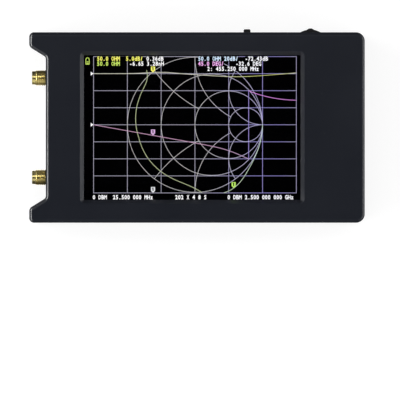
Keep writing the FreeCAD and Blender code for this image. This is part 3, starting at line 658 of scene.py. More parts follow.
def black_foam():
    """Open-celled black foam of the gasket, pads and tape."""
    material, tree, shader = new_finish("black_foam_finish", IOR=1.35)
    cells = {"Vector": object_place(tree), "Scale": 2800.0}
    pores = spread(output(tree, "ShaderNodeTexVoronoi", "Distance", cells), 0.1, 0.7)
    colour = blended(pores, tone(0.004, 0.004, 0.004), tone(0.022, 0.022, 0.023))
    surface(shader, colour, spread(pores, 0.0, 1.0, 0.95, 0.80), pores, 0.08 * mm)
    return material


def flex_film():
    """Amber polyimide film with copper conductors along it."""
    material, tree, shader = new_finish("flex_film_finish", Coat_Weight=0.5, Coat_Roughness=0.08)
    cell = maths("FRACT", parts(object_place(tree))[1] / (0.5 * mm))
    track = spread(abs(cell - 0.5), 0.30, 0.22)
    colour = blended(track, tone(0.36, 0.14, 0.02), tone(0.62, 0.30, 0.10))
    surface(shader, colour, spread(track, 0.0, 1.0, 0.42, 0.30), track, 0.015 * mm)
    return material


def lead_insulation():
    """Insulation of the battery lead: one red wire and one black."""
    material, tree, shader = new_finish("lead_insulation_finish", IOR=1.48)
    low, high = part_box("battery_lead")
    x, y, z = parts(object_place(tree))
    from_line = y - (x - low.x) * ((high.y - low.y - lead_step) / (high.x - low.x))
    skin = effect(tree, grain, Size=0.3 * mm, Drift_Size=4 * mm)
    red = blended(skin["Drift"], tone(0.42, 0.012, 0.010), tone(0.52, 0.020, 0.016))
    dull = blended(skin["Drift"], grey(0.010), grey(0.018))
    rough = spread(skin["Height"], 0.0, 1.0, 0.40, 0.50)
    surface(shader, blended(from_line > low.y + lead_middle, dull, red), rough, skin["Height"], 0.004 * mm)
    return material


def chip_epoxy():
    """Dark moulded epoxy of the chips, with tinned leads where they meet the board."""
    material, tree, shader = new_finish("chip_epoxy_finish", IOR=1.52)
    height = parts(object_place(tree))[2]
    board_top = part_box("main_board")[1].z
    lead = (height > board_top - chip_lead_sink) * (height < board_top + chip_lead_height)
    skin = effect(tree, grain, Size=0.10 * mm, Drift_Size=5 * mm)["Height"]
    body = blended(skin, tone(0.016, 0.016, 0.017), tone(0.030, 0.030, 0.031))
    colour = blended(lead, body, tone(0.62, 0.62, 0.60))
    surface(shader, colour, spread(skin, 0.0, 1.0, 0.45, 0.60), skin, 0.004 * mm)
    feed(shader, "Metallic", lead)
    return material


makers = [case_plastic, control_plastic, socket_plastic, plug_plastic, port_gold, port_core, screw_steel]
makers += [sheet_steel, contact_metal, insert_brass, board_laminate, backlight_plastic, display_glass]
makers += [touch_glass, black_foam, flex_film, pouch_foil, lead_insulation, chip_epoxy]
finishes = {maker.__name__: maker() for maker in makers}


def lit_colour(name, left, right, gap):
    """Light of the display's dots in one colour, which drifts across the display."""
    dark = {"Emission_Strength": 1.0, "Base_Color": black, "Roughness": 0.3}
    material, tree, shader = new_finish(name + "_light", **dark)
    dots = effect(tree, display_dots, Pitch=dot_pitch, Gap=gap)
    drifted = blended(dots["Across"], tone(*left), tone(*right))
    feed(shader, "Emission Color", blended(dots["Brightness"], black, drifted))
    return material


# Colour at the left and at the right of each line's and each letter's light
line_colours = {
    "grid": ((0.50, 0.48, 0.62), (0.36, 0.32, 0.78)),
    "chart": ((0.62, 0.61, 0.62), (0.54, 0.51, 0.80)),
    "gain": ((0.80, 0.78, 0.66), (0.62, 0.66, 0.16)),
    "phase": ((0.72, 0.40, 0.62), (0.58, 0.42, 0.68)),
    "wrap": ((0.36, 0.30, 0.80), (0.40, 0.32, 0.86)),
    "late_phase": ((0.80, 0.30, 0.88), (0.84, 0.30, 0.92)),
    "polar": ((0.56, 0.64, 0.36), (0.60, 0.80, 0.62)),
}
letter_colours = {
    "yellow": ((1.05, 1.02, 0.16), (0.85, 0.85, 0.20)),
    "green": ((0.62, 0.86, 0.14), (0.45, 0.85, 0.12)),
    "blue": ((0.68, 0.86, 1.05), (0.76, 0.92, 1.08)),
    "pink": ((0.95, 0.45, 0.92), (1.0, 0.52, 1.0)),
    "white": ((1.05, 1.04, 1.06), (1.02, 1.02, 1.08)),
    "pink_marker": ((0.74, 0.46, 0.78), (0.74, 0.46, 0.78)),
    "white_marker": ((0.76, 0.77, 0.80), (0.76, 0.77, 0.80)),
}
lights = {name: lit_colour(name, *ends, line_gap) for name, ends in line_colours.items()}
lights.update({name: lit_colour(name, *ends, letter_gap) for name, ends in letter_colours.items()})


def shown(name, data):
    """Object at the origin for a mesh, curve, lamp or camera."""
    piece = bpy.data.objects.new(name, data)
    bpy.context.scene.collection.objects.link(piece)
    return piece


def made_real(piece):
    """Plain mesh of an object as its modifiers and curves leave it."""
    bpy.context.view_layer.update()
    view = bpy.context.evaluated_depsgraph_get()
    return bpy.data.meshes.new_from_object(piece.evaluated_get(view))


def closed_mesh(name, build, material, sharp_angle=35.0):
    """Mesh object from a function that fills a bmesh, its doubles merged and its faces turned outward."""
    work = bmesh.new()
    build(work)
    bmesh.ops.remove_doubles(work, verts=work.verts, dist=merge_distance)
    bmesh.ops.recalc_face_normals(work, faces=work.faces)
    mesh = bpy.data.meshes.new(name)
    work.to_mesh(mesh)
    work.free()
    for face in mesh.polygons:
        face.use_smooth = True
    mesh.set_sharp_from_angle(angle=math.radians(sharp_angle))
    mesh.materials.append(material)
    return shown(name, mesh)


def fitted(piece, body, slot_name, *replaced):
    """Ties a finished piece to its body and hides the nodes it stands for; the slot name is not used."""
    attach(piece, body)
    if replaced:
        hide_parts(*replaced)
    return piece


pattern_kinds = {
    "Count": "Int",
    "Columns": "Int",
    "Rows": "Int",
    "First Place": "Vector",
    "Box Size": "Vector",
}


def new_pattern(name, *labels):
    """Empty geometry tree with named inputs, what it is given, and its end node."""
    tree = bpy.data.node_groups.new(name, "GeometryNodeTree")
    kinds = {label: pattern_kinds.get(label, "Float") for label in labels}
    for label, kind in {"Geometry": "Geometry", **kinds, "Material": "Material"}.items():
        tree.interface.new_socket(label, in_out="INPUT", socket_type="NodeSocket" + kind)
    tree.interface.new_socket("Geometry", in_out="OUTPUT", socket_type="NodeSocketGeometry")
    start = tree.nodes.new("NodeGroupInput")
    return tree, outputs_of(tree, start), tree.nodes.new("NodeGroupOutput")


def finish_pattern(geometry, material, end):
    """Ends a geometry tree in real faces that carry their material."""
    tree = geometry.tree
    real = output(tree, "GeometryNodeRealizeInstances", "Geometry", {"Geometry": geometry})
    inputs = {"Geometry": real, "Material": material}
    feed(end, "Geometry", output(tree, "GeometryNodeSetMaterial", "Geometry", inputs))
    return tree


def patterned(name, tree, values, start=None):
    """Plain mesh object that a geometry tree makes from its named values and a starting mesh."""
    piece = shown(name, start or bpy.data.meshes.new(name))
    modifier = piece.modifiers.new(tree.name, "NODES")
    modifier.node_group = tree
    for item in tree.interface.items_tree:
        if item.in_out == "INPUT" and item.name in values:
            modifier[item.identifier] = values[item.name]
    made = made_real(piece)
    piece.modifiers.clear()
    piece.data = made
    made.name = name
    return piece


def copies_along(tree, count, start, step, one):
    """One thing at equal steps from a start."""
    line = {"Count": count, "Start Location": start, "Offset": step}
    inputs = {"Points": output(tree, "GeometryNodeMeshLine", "Mesh", line), "Instance": one}
    return output(tree, "GeometryNodeInstanceOnPoints", "Instances", inputs)


def bars(tree, count, start, step, size):
    """Boxes of one size at equal steps from a start."""
    box = output(tree, "GeometryNodeMeshCube", "Mesh", {"Size": size})
    return copies_along(tree, count, start, step, box)


def triple(tree, x, y, z):
    """Vector from three values."""
    return output(tree, "ShaderNodeCombineXYZ", 0, {0: x, 1: y, 2: z})


def ruled_grid_pattern():
    """Evenly spaced upright and level lines."""
    labels = ("Columns", "Rows", "Column Pitch", "Row Pitch", "Left", "Top", "Height", "Line Width")
    tree, given, end = new_pattern("ruled grid", *labels, "Thickness")
    columns, rows, column_step, row_step, left, top, height, width = [given[label] for label in labels]
    thickness = given["Thickness"]
    wide = columns * column_step
    tall = rows * row_step
    middle_x = left + wide * 0.5
    middle_y = top - tall * 0.5
    start = triple(tree, left, middle_y, height)
    size = triple(tree, width, tall + width, thickness)
    upright = bars(tree, columns + 1.0, start, triple(tree, column_step, 0.0, 0.0), size)
    start = triple(tree, middle_x, top, height + thickness)
    size = triple(tree, wide + width, width, thickness)
    level = bars(tree, rows + 1.0, start, triple(tree, 0.0, row_step * -1.0, 0.0), size)
    both = add(tree, "GeometryNodeJoinGeometry", {0: upright})
    feed(both, 0, level)
    return finish_pattern(Value(tree, both.outputs[0]), given["Material"], end)


def row_pattern():
    """Row of equal small boxes."""
    tree, given, end = new_pattern("row of boxes", "Count", "Pitch", "First Place", "Box Size")
    step = triple(tree, given["Pitch"], 0.0, 0.0)
    row = bars(tree, given["Count"], given["First Place"], step, given["Box Size"])
    return finish_pattern(row, given["Material"], end)


def rib_pattern():
    """Row of half-sunk round ribs that stand along z."""
    tree, given, end = new_pattern("row of ribs", "Count", "Pitch", "First Place", "Rib Radius", "Rib Length")
    inputs = {"Vertices": 16, "Side Segments": 1, "Radius": given["Rib Radius"], "Depth": given["Rib Length"]}
    rib = output(tree, "GeometryNodeMeshCylinder", "Mesh", inputs)
    step = triple(tree, given["Pitch"], 0.0, 0.0)
    row = copies_along(tree, given["Count"], given["First Place"], step, rib)
    return finish_pattern(row, given["Material"], end)


def thread_pattern():
    """Helical thread on the part of a turned body along x that lies between two places."""
    labels = ("Start", "End", "Pitch", "Crest Radius", "Crest Width", "Depth")
    tree, given, end = new_pattern("helical thread", *labels)
    first, last, pitch, crest_radius, crest_width, depth = [given[label] for label in labels]
    x, y, z = parts(output(tree, "GeometryNodeInputPosition", 0))
    radius = maths("SQRT", y * y + z * z)
    turn = maths("ARCTAN2", z, y) / (2 * math.pi)
    from_crest = abs(maths("FRACT", (x - first) / pitch - turn) - 0.5) * pitch
    flank_start = crest_width * 0.5
    flank_end = flank_start + depth * math.tan(math.radians(30))
    cut = spread(from_crest, flank_start, flank_end, interpolation_type="SMOOTHSTEP")
    run_out = pitch * thread_run_out
    from_start = maths("DIVIDE", x - first, run_out, clamp=True)
    standing = from_start * maths("DIVIDE", last - x, run_out, clamp=True)
    factor = ((crest_radius - depth) + (1.0 - cut) * standing * depth) / radius
    chosen = (radius > crest_radius - hair) * ((x > first) * (x < last))
    place = triple(tree, x, y * factor, z * factor)
    inputs = {"Geometry": given["Geometry"], "Selection": chosen, "Position": place}
    moved = output(tree, "GeometryNodeSetPosition", "Geometry", inputs)
    return finish_pattern(moved, given["Material"], end)


def corner_pattern():
    """One mesh repeated at four corners, each turned by its own amount."""
    labels = ("Left", "Right", "Left Spread", "Right Spread", "Height")
    tree, given, end = new_pattern("four corners", *labels)
    left, right, left_spread, right_spread, height = [given[label] for label in labels]
    index = output(tree, "GeometryNodeInputIndex", 0)
    on_right = index > 1.5
    on_left = 1.0 - on_right
    side = (index % 2.0) * 2.0 - 1.0
    reach = on_left * left_spread + on_right * right_spread
    place = triple(tree, on_left * left + on_right * right, reach * side, height)
    line = output(tree, "GeometryNodeMeshLine", "Mesh", {"Count": 4})
    corners = output(tree, "GeometryNodeSetPosition", "Geometry", {"Geometry": line, "Position": place})
    turn = add(tree, "FunctionNodeRandomValue", {"Min": 0.0, "Max": math.pi, "Seed": 7}, data_type="FLOAT")
    angle = Value(tree, [socket for socket in turn.outputs if socket.enabled][0])
    inputs = {"Points": corners, "Instance": given["Geometry"], "Rotation": triple(tree, 0.0, 0.0, angle)}
    copies = output(tree, "GeometryNodeInstanceOnPoints", "Instances", inputs)
    return finish_pattern(copies, given["Material"], end)


ruled_grid = ruled_grid_pattern()
row_of_boxes = row_pattern()
row_of_ribs = rib_pattern()
helical_thread = thread_pattern()
four_corners = corner_pattern()


def walls(work, before, after):
    """Faces between two rings of corners."""
    for index in range(len(before)):
        work.faces.new((before[index - 1], before[index], after[index], after[index - 1]))


def turned(work, outline, segments=round_segments):
    """Closed turned surface about the x axis from a closed outline of x and radius."""
    angles = [2 * math.pi * step / segments for step in range(segments)]
    rings = []
    for x, radius in outline:
        places = [(x, radius * math.cos(angle), radius * math.sin(angle)) for angle in angles]
        rings.append([work.verts.new(place) for place in places])
    for index in range(len(rings)):
        ring, following = rings[index - 1], rings[index]
        for step in range(segments):
            after = (step + 1) % segments
            work.faces.new((ring[step], ring[after], following[after], following[step]))


def box_with_round(work, low, high, round_size):
    """Box between two corners with its edges slightly rounded."""
    size = [high[axis] - low[axis] for axis in range(3)]
    middle = [(high[axis] + low[axis]) / 2 for axis in range(3)]
    made = bmesh.ops.create_cube(work, size=1.0)["verts"]
    for vertex in made:
        vertex.co = Vector([middle[axis] + vertex.co[axis] * size[axis] for axis in range(3)])
    edges = {edge for vertex in made for edge in vertex.link_edges}
    bmesh.ops.bevel(work, geom=list(edges), offset=round_size, segments=2, affect="EDGES", profile=0.5)


def thread_rings(start, length, pitch, radius, per_turn):
    """Closely spaced rings where a thread will be cut."""
    count = round(length / pitch * per_turn)
    return [(start + length * step / count, radius) for step in range(count + 1)]


def jack_outline():
    """Closed outline of the jack's barrel: bore, mouth, neck, thread zone and shank."""
    mouth = jack_tip + jack_bore_depth
    outline = [(jack_back, jack_core_radius), (mouth, jack_core_radius), (mouth, jack_bore_radius)]
    outline += [(jack_tip + jack_lip, jack_bore_radius), (jack_tip, jack_bore_radius + jack_lip)]
    outline += [(jack_tip, jack_neck_radius - jack_lip), (jack_tip + jack_lip, jack_neck_radius)]
    outline += [(jack_thread_start, jack_neck_radius)]
    thread = (jack_thread_start, jack_thread_length, jack_thread_pitch, jack_thread_radius)
    outline += thread_rings(*thread, jack_rings_per_turn)
    outline += [(jack_thread_start + jack_thread_length, jack_root_radius), (jack_back, jack_root_radius)]
    return outline


def flange_plate(work, low, high, axis_y):
    """Square plate with a round hole for the core, about an axis along x."""
    rings = []
    for x in (low[0], high[0]):
        inner, outer = [], []
        for step in range(flange_segments):
            angle = 2 * math.pi * (step + 0.5) / flange_segments
            across, up = math.cos(angle), math.sin(angle)
            edge = (high[1] - low[1]) / 2 / max(abs(across), abs(up))
            for ring, reach in ((inner, jack_core_radius), (outer, edge)):
                ring.append(work.verts.new((x, axis_y + reach * across, jack_axis_height + reach * up)))
        rings.append((inner, outer))
    (front_in, front_out), (back_in, back_out) = rings
    for step in range(flange_segments):
        after = (step + 1) % flange_segments
        work.faces.new((front_in[step], front_out[step], front_out[after], front_in[after]))
        work.faces.new((back_in[step], back_in[after], back_out[after], back_out[step]))
        work.faces.new((front_out[step], back_out[step], back_out[after], front_out[after]))
        work.faces.new((front_in[step], front_in[after], back_in[after], back_in[step]))


def threaded_jack(name, axis_y):
    """Gold jack: threaded barrel, square flange and four legs beside the board."""
    gold = finishes["port_gold"]
    barrel = closed_mesh(name + "_barrel", lambda work: turned(work, jack_outline()), gold)
    values = {
        "Start": jack_thread_start - hair,
        "End": jack_thread_start + jack_thread_length + hair,
        "Pitch": jack_thread_pitch,
        "Crest Radius": jack_thread_radius,
        "Crest Width": jack_crest_width,
        "Depth": jack_thread_depth,
        "Material": gold,
    }
    threaded = patterned(name + "_threaded", helical_thread, values, barrel.data)
    half = jack_flange_size / 2
    board_low, board_high = (corner.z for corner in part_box("main_board"))

    def whole(work):
        work.from_mesh(threaded.data)
        for vertex in work.verts:
            vertex.co += Vector((0, axis_y, jack_axis_height))
        low = (jack_flange_front, axis_y - half, jack_axis_height - half)
        high = (jack_back, axis_y + half, jack_axis_height + half)
        flange_plate(work, low, high, axis_y)
        for side in (-half, half - jack_leg_size):
            for leg_low in (board_high, board_low - jack_leg_size):
                start = (jack_back, axis_y + side, leg_low)
                stop = (jack_back + jack_leg_length, axis_y + side + jack_leg_size, leg_low + jack_leg_size)
                box_with_round(work, start, stop, jack_leg_round)

    piece = closed_mesh(name + "_finish", whole, gold, metal_sharp_angle)
    for helper in (barrel, threaded):
        bpy.data.objects.remove(helper)
    return fitted(piece, "case", "port_gold", name)


def ring_sector(work, x, radii, angles, segments=10):
    """Part of a tube along x between two angles."""
    sections = []
    for step in range(segments + 1):
        angle = angles[0] + (angles[1] - angles[0]) * step / segments
        corners = []
        for place, radius in ((x[0], radii[0]), (x[1], radii[0]), (x[1], radii[1]), (x[0], radii[1])):
            corners.append(work.verts.new((place, radius * math.cos(angle), radius * math.sin(angle))))
        sections.append(corners)
    for before, after in zip(sections, sections[1:]):
        walls(work, before, after)
    work.faces.new(sections[0])
    work.faces.new(reversed(sections[-1]))


def slit_contact(name, axis_y):
    """Centre contact of a jack: four spring fingers in front, solid behind, with a pin on the board."""
    front = jack_tip + jack_bore_depth
    half_slit = contact_slit_width / 2 / contact_radius
    slit_end = front + contact_slit_depth
    hole_end = front + contact_hole_depth
    pin_end = jack_back + contact_pin_length

    def build(work):
        for quarter in range(4):
            first = quarter * math.pi / 2 + half_slit
            last = (quarter + 1) * math.pi / 2 - half_slit
            ring_sector(work, (front, slit_end), (contact_hole_radius, contact_radius), (first, last))
        outline = [(slit_end, contact_hole_radius), (hole_end, contact_hole_radius), (hole_end, 0.0)]
        outline += [(pin_end, 0.0), (pin_end, contact_pin_radius)]
        outline += [(jack_back, contact_pin_radius), (jack_back, contact_radius), (slit_end, contact_radius)]
        turned(work, outline, contact_segments)
        for vertex in work.verts:
            vertex.co += Vector((0, axis_y, jack_axis_height))

    piece = closed_mesh(name + "_finish", build, finishes["port_gold"], metal_sharp_angle)
    return fitted(piece, "case", "port_gold", name)


def screw_outline(length):
    """Closed outline of a pan-head screw: head face at x 0, tip at its length."""
    outline = [(0.0, 0.0), (0.0, screw_head_radius - screw_head_round)]
    for step in range(1, head_round_steps + 1):
        angle = math.pi / 2 * step / head_round_steps
        inward = screw_head_round * (1 - math.sin(angle))
        outline.append((screw_head_round * (1 - math.cos(angle)), screw_head_radius - inward))
    outline += [(screw_head_height, screw_head_radius), (screw_head_height, screw_radius)]
    thread_length = length - screw_head_height - screw_tip_length
    thread = (screw_head_height + hair, thread_length, screw_thread_pitch, screw_radius)
    outline += thread_rings(*thread, screw_rings_per_turn)
    outline += [(length, screw_radius - screw_tip_length / 2), (length, 0.0)]
    return outline


def cross_cutter(work):
    """Tapered cross that the driver fits."""
    for turn in (0.0, math.pi / 2):
        ends = []
        for x, shrink in ((-drive_overshoot, 1.0), (drive_depth, drive_taper)):
            long, wide = drive_length / 2 * shrink, drive_width / 2 * shrink
            ring = []
            for across, up in ((-long, -wide), (long, -wide), (long, wide), (-long, wide)):
                y = across * math.cos(turn) - up * math.sin(turn)
                z = across * math.sin(turn) + up * math.cos(turn)
                ring.append(work.verts.new((x, y, z)))
            ends.append(ring)
        work.faces.new(reversed(ends[0]))
        work.faces.new(ends[1])
        walls(work, *ends)


def finished_screw(length):
    """Mesh of one screw along x: turned, threaded, and its head cut for the driver."""
    steel = finishes["screw_steel"]
    outline = screw_outline(length)
    blank = closed_mesh("screw_blank", lambda work: turned(work, outline, screw_segments), steel)
    values = {
        "Start": screw_head_height,
        "End": length - screw_tip_length,
        "Pitch": screw_thread_pitch,
        "Crest Radius": screw_radius,
        "Crest Width": screw_crest_width,
        "Depth": screw_thread_depth,
        "Material": steel,
    }
    threaded = patterned("screw_threaded", helical_thread, values, blank.data)
    cutter = closed_mesh("screw_cutter", cross_cutter, steel)
    recess = threaded.modifiers.new("recess", "BOOLEAN")
    recess.operation = "DIFFERENCE"
    recess.solver = "EXACT"
    recess.use_self = True
    recess.object = cutter
    mesh = made_real(threaded)
    for helper in (blank, threaded, cutter):
        bpy.data.objects.remove(helper)
    return mesh


def screw_places(name):
    """Middle of the upper screw on the left and on the right, which the pattern repeats below."""
    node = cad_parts[name]
    places = [node.matrix_world @ vertex.co for vertex in node.data.vertices]
    found = {}
    for label, side in (("Left", -1), ("Right", 1)):
        upper = [place for place in places if place.x * side > 0 and place.y > 0]
        for name_end, axis in (("", 0), (" Spread", 1)):
            reach = [place[axis] for place in upper]
            found[label + name_end] = (min(reach) + max(reach)) / 2
    return found


def screw_set(name, length, height, points_up):
    """Four screws of one node, the faces of their heads at one height."""
    steel = finishes["screw_steel"]
    mesh = finished_screw(length)
    for vertex in mesh.vertices:
        x, y, z = vertex.co
        vertex.co = Vector((y, z, x)) if points_up else Vector((z, y, -x))
    values = {**screw_places(name), "Height": height, "Material": steel}
    copies = patterned(name + "_copies", four_corners, values, mesh)

    def build(work):
        work.from_mesh(copies.data)

    piece = closed_mesh(name + "_finish", build, steel, metal_sharp_angle)
    bpy.data.objects.remove(copies)
    return fitted(piece, "case", "screw_steel", name)


def socket_contact_row(name, height):
    """Row of flat contacts on one side of the charging socket's tongue."""
    low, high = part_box("usb_socket_tongue")
    first = (low.x + high.x) / 2 - (socket_contacts - 1) / 2 * socket_contact_pitch
    middle_y = high.y - socket_contact_inset - socket_contact_size[1] / 2
    values = {
        "Count": socket_contacts,
        "Pitch": socket_contact_pitch,
        "First Place": (first, middle_y, height),
        "Box Size": socket_contact_size,
        "Material": finishes["contact_metal"],
    }
    return fitted(patterned(name, row_of_boxes, values), "case", "contact_metal")


def knob_grip():
    """Ribs across the outer face of the power knob."""
    low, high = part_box("power_switch_slider")
    first = (low.x + high.x) / 2 - (knob_ribs - 1) / 2 * knob_rib_pitch
    values = {
        "Count": knob_ribs,
        "Pitch": knob_rib_pitch,
        "First Place": (first, high.y, (knob_ribs_low + knob_ribs_high) / 2),
        "Rib Radius": knob_rib_radius,
        "Rib Length": knob_ribs_high - knob_ribs_low,
        "Material": finishes["control_plastic"],
    }
    return fitted(patterned("power_knob_ribs", row_of_ribs, values), "power_slider", "control_plastic")


def plot_place(column, row):
    """Place on the display for a column and row of the plot."""
    return (plot_left + column * column_pitch, plot_top - row * row_pitch)


def chart_place(real, imaginary):
    """Place on the display for a reflection on the round chart."""
    x, y = plot_place(plot_columns / 2, plot_rows / 2)
    return (x + real * chart_radius, y + imaginary * chart_radius)


def ribbon(work, points, width, height, looped=False):
    """Thin closed band along a line of places, at one height, or round a loop of them."""
    rings = []
    count = len(points)
    for index in range(count):
        before = points[index - 1] if looped else points[max(index - 1, 0)]
        after = points[(index + 1) % count] if looped else points[min(index + 1, count - 1)]
        along = Vector((after[0] - before[0], after[1] - before[1])).normalized()
        across = Vector((-along.y, along.x)) * (width / 2)
        x, y = points[index]
        low, high = height, height + picture_thickness
        corners = ((x - across.x, y - across.y, low), (x + across.x, y + across.y, low))
        corners += ((x + across.x, y + across.y, high), (x - across.x, y - across.y, high))
        rings.append([work.verts.new(corner) for corner in corners])
    following = rings[1:] + rings[:1] if looped else rings[1:]
    for before, after in zip(rings, following):
        walls(work, before, after)
    if not looped:
        work.faces.new(rings[0])
        work.faces.new(reversed(rings[-1]))


def plate(work, corners, height):
    """Thin closed plate with a straight-sided outline."""
    low = [work.verts.new((x, y, height)) for x, y in corners]
    high = [work.verts.new((x, y, height + picture_thickness)) for x, y in corners]
    work.faces.new(reversed(low))
    work.faces.new(high)
    walls(work, low, high)


def rectangle(left, low, right, high):
    """Corners of an upright rectangle."""
    return ((left, low), (right, low), (right, high), (left, high))


def sampled(function, first, last, steps):
    """Places along a curve given as a function."""
    return [function(first + (last - first) * step / steps) for step in range(steps + 1)]


def hump(value, middle, width):
    """Smooth rise to one and back about a middle."""
    return math.exp(-(((value - middle) / width) ** 2))


def resistance_circle(resistance):
    """Circle of one resistance on the round chart."""
    middle = resistance / (1 + resistance)
    radius = 1 / (1 + resistance)
    return lambda angle: chart_place(middle + radius * math.cos(angle), radius * math.sin(angle))


def reactance_arc(reactance, reach):
    """Arc of one reactance on the round chart, from its rim inward, at full reach to its right-hand point."""

    def place(share):
        resistance = reach * share
        if reach == full_arc_reach:
            resistance /= arc_end - share
        bottom = (resistance + 1) ** 2 + reactance ** 2
        real = (resistance ** 2 - 1 + reactance ** 2) / bottom
        return chart_place(real, 2 * reactance / bottom)

    return place


def gain_level(column):
    """Row of the gain trace at a column."""
    rise = gain_rise * hump(column, gain_rise_column, gain_rise_width)
    sag = gain_sag * hump(column, gain_sag_column, gain_sag_width)
    return gain_row - rise + sag - gain_end_rise * (column / plot_columns) ** gain_end_power


def phase_turns(column):
    """Fall of the phase trace at a column, in rows, before it wraps."""
    step = phase_step / (1 + math.exp((phase_step_column - column) / phase_step_width))
    return phase_slope * column + step - phase_lift * max(0.0, column - phase_lift_column) ** 2


def polar_place(share):
    """Place of the swept reflection on the round chart."""
    sweep = share ** polar_pace
    into_hollow = max(0.0, sweep - polar_hollow_place) / polar_hollow_width
    hollow = polar_hollow * (1 - math.exp(-into_hollow))
    return_out = polar_return * max(0.0, sweep - polar_return_place) + polar_hook * sweep ** polar_hook_power
    radius = 1 + polar_bulge * hump(sweep, polar_bulge_place, polar_bulge_width) - hollow + return_out
    angle = -math.radians(polar_turn) * sweep
    return chart_place(radius * math.cos(angle), radius * math.sin(angle))


def wrap_column():
    """Column where the phase trace has fallen to its limit and starts again half a plot higher."""
    column = 0.0
    while phase_turns(column) < phase_limit:
        column += wrap_search_step
    return column


def on_display(name, build, light):
    """Piece of the display's picture, from a function that fills a bmesh."""
    return fitted(closed_mesh("display_" + name, build, light), "case", "display_glass")


def display_mask():
    """Dark face of the display that the picture lies on."""
    low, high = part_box("display_glass")
    inner = (low.x + picture_inset, low.y + picture_inset, high.x - picture_inset, high.y - picture_inset)
    on_display("mask", lambda work: plate(work, rectangle(*inner), mask_height), finishes["display_glass"])


def display_grid():
    """Lines of the plot's grid."""
    values = {
        "Columns": plot_columns,
        "Rows": plot_rows,
        "Column Pitch": column_pitch,
        "Row Pitch": row_pitch,
        "Left": plot_left,
        "Top": plot_top,
        "Height": grid_height,
        "Line Width": line_width,
        "Thickness": picture_thickness,
        "Material": lights["grid"],
    }
    fitted(patterned("display_grid", ruled_grid, values), "case", "display_glass")


def display_chart():
    """Circles and arcs of the round chart."""

    def build(work):
        for resistance in chart_circles:
            points = sampled(resistance_circle(resistance), 0.0, 2 * math.pi, circle_steps)
            ribbon(work, points[:-1], line_width, chart_height, looped=True)
        for reactance, reach in chart_arcs:
            for side in (-1, 1):
                points = sampled(reactance_arc(side * reactance, reach), 0.0, 1.0, arc_steps)
                ribbon(work, points, line_width, chart_height + side * arc_layer * layer_step)

    on_display("chart", build, lights["chart"])


def display_trace(name, runs, light, layer):
    """One measured trace, drawn as one or more runs."""

    def build(work):
        for points in runs:
            ribbon(work, points, trace_width, trace_height + layer * layer_step)

    on_display(name, build, lights[light])


def phase_runs():
    """The phase trace before it wraps, the upright line, and the trace after it."""

    def phase_from(row):
        return lambda column: plot_place(column, row + phase_turns(column))

    wrap = wrap_column()
    before = sampled(phase_from(plot_rows / 2), 0.0, wrap, trace_steps)
    after = sampled(phase_from(0.0), wrap, plot_columns, late_trace_steps)
    return before, [before[-1], after[0]], after


def polar_runs():
    """The swept reflection, without the stretch that leaves the plot."""
    bottom = plot_place(0, plot_rows)[1]
    runs, current = [], []
    for x, y in sampled(polar_place, 0.0, 1.0, polar_steps):
        if y > bottom:
            current.append((x, y))
        elif current:
            runs.append(current)
            current = []
    runs.append(current)
    return runs


def display_traces():
    """The gain, phase and polar traces."""
    gain = sampled(lambda column: plot_place(column, gain_level(column)), 0.0, plot_columns, trace_steps)
    before, wrap, after = phase_runs()
    display_trace("gain_trace", [gain], "gain", 0.0)
    display_trace("phase_trace", [before], "phase", 0.5)
    display_trace("phase_wrap", [wrap], "wrap", 0.25)
    display_trace("late_phase_trace", [after], "late_phase", 0.5)
    display_trace("polar_trace", polar_runs(), "polar", 1.0)


glyph_store = {}


def glyph(character):
    """Vertices and faces of one letter, flat and centred on its cell."""
    if character not in glyph_store:
        curve = bpy.data.curves.new("letter", "FONT")
        curve.body = character
        curve.size = letter_size
        curve.offset = letter_weight * letter_size
        curve.extrude = picture_thickness / 2
        curve.resolution_u = 2
        curve.align_x = "CENTER"
        source = shown("letter", curve)
        mesh = made_real(source)
        across = [vertex.co.x for vertex in mesh.vertices]
        narrowing = min(letter_narrowing, letter_fill * letter_pitch / (max(across) - min(across)))
        places = [(v.co.x * narrowing, v.co.y, v.co.z) for v in mesh.vertices]
        glyph_store[character] = (places, [tuple(face.vertices) for face in mesh.polygons])
        bpy.data.objects.remove(source)
        bpy.data.meshes.remove(mesh)
    return glyph_store[character]


def write(work, text, column, row):
    """Letters of a line, each in its own cell, from a place on the plot."""
    left, base = plot_place(column, row)
    for index, character in enumerate(text):
        if character == " ":
            continue
        places, faces = glyph(character)
        x = left + (index + 0.5) * letter_pitch
        corners = [work.verts.new((x + px, base + py, letter_height + pz)) for px, py, pz in places]
        for face in faces:
            work.faces.new([corners[number] for number in face])


# Each line's words, and the column and row of the plot where it starts
display_words = {
    "yellow": [("50.0 OHM  5.0dB/", 0.10, 0.235)],
    "green": [("50.0 OHM", 0.10, 0.53)],
    "blue": [("50.0 OHM 20dB/", 3.09, 0.235)],
    "pink": [("45.0 DEG/", 3.09, 0.53)],
    "white": [
        ("0.36dB", 1.56, 0.235),
        ("-6.65 3.28nH", 1.06, 0.53),
        ("-72.43dB", 4.48, 0.235),
        ("-32.6 DEG", 4.2, 0.53),
        ("2: 455.250 000 MHz", 3.36, 0.83),
        ("0 DBM  25.500 000 MHz", -0.03, 8.37),
        ("202 X 4 8 S", 2.41, 8.37),
        ("0 DBM 2.500 000 000 GHz", 3.96, 8.37),
    ],
}


def display_lines(colour, lines):
    """Lettering of one colour."""

    def build(work):
        for line in lines:
            write(work, *line)

    on_display(colour + "_lines", build, lights[colour])


def display_line_cells():
    """Dark cells that hide the plot behind the lettering."""

    def build(work):
        for lines in display_words.values():
            for text, column, row in lines:
                left, base = plot_place(column, row)
                low, high = base - cell_below, base + cell_above
                cells = rectangle(left, low, left + len(text) * letter_pitch, high)
                plate(work, cells, letter_height - cell_layer * layer_step)

    on_display("line_cells", build, finishes["display_glass"])


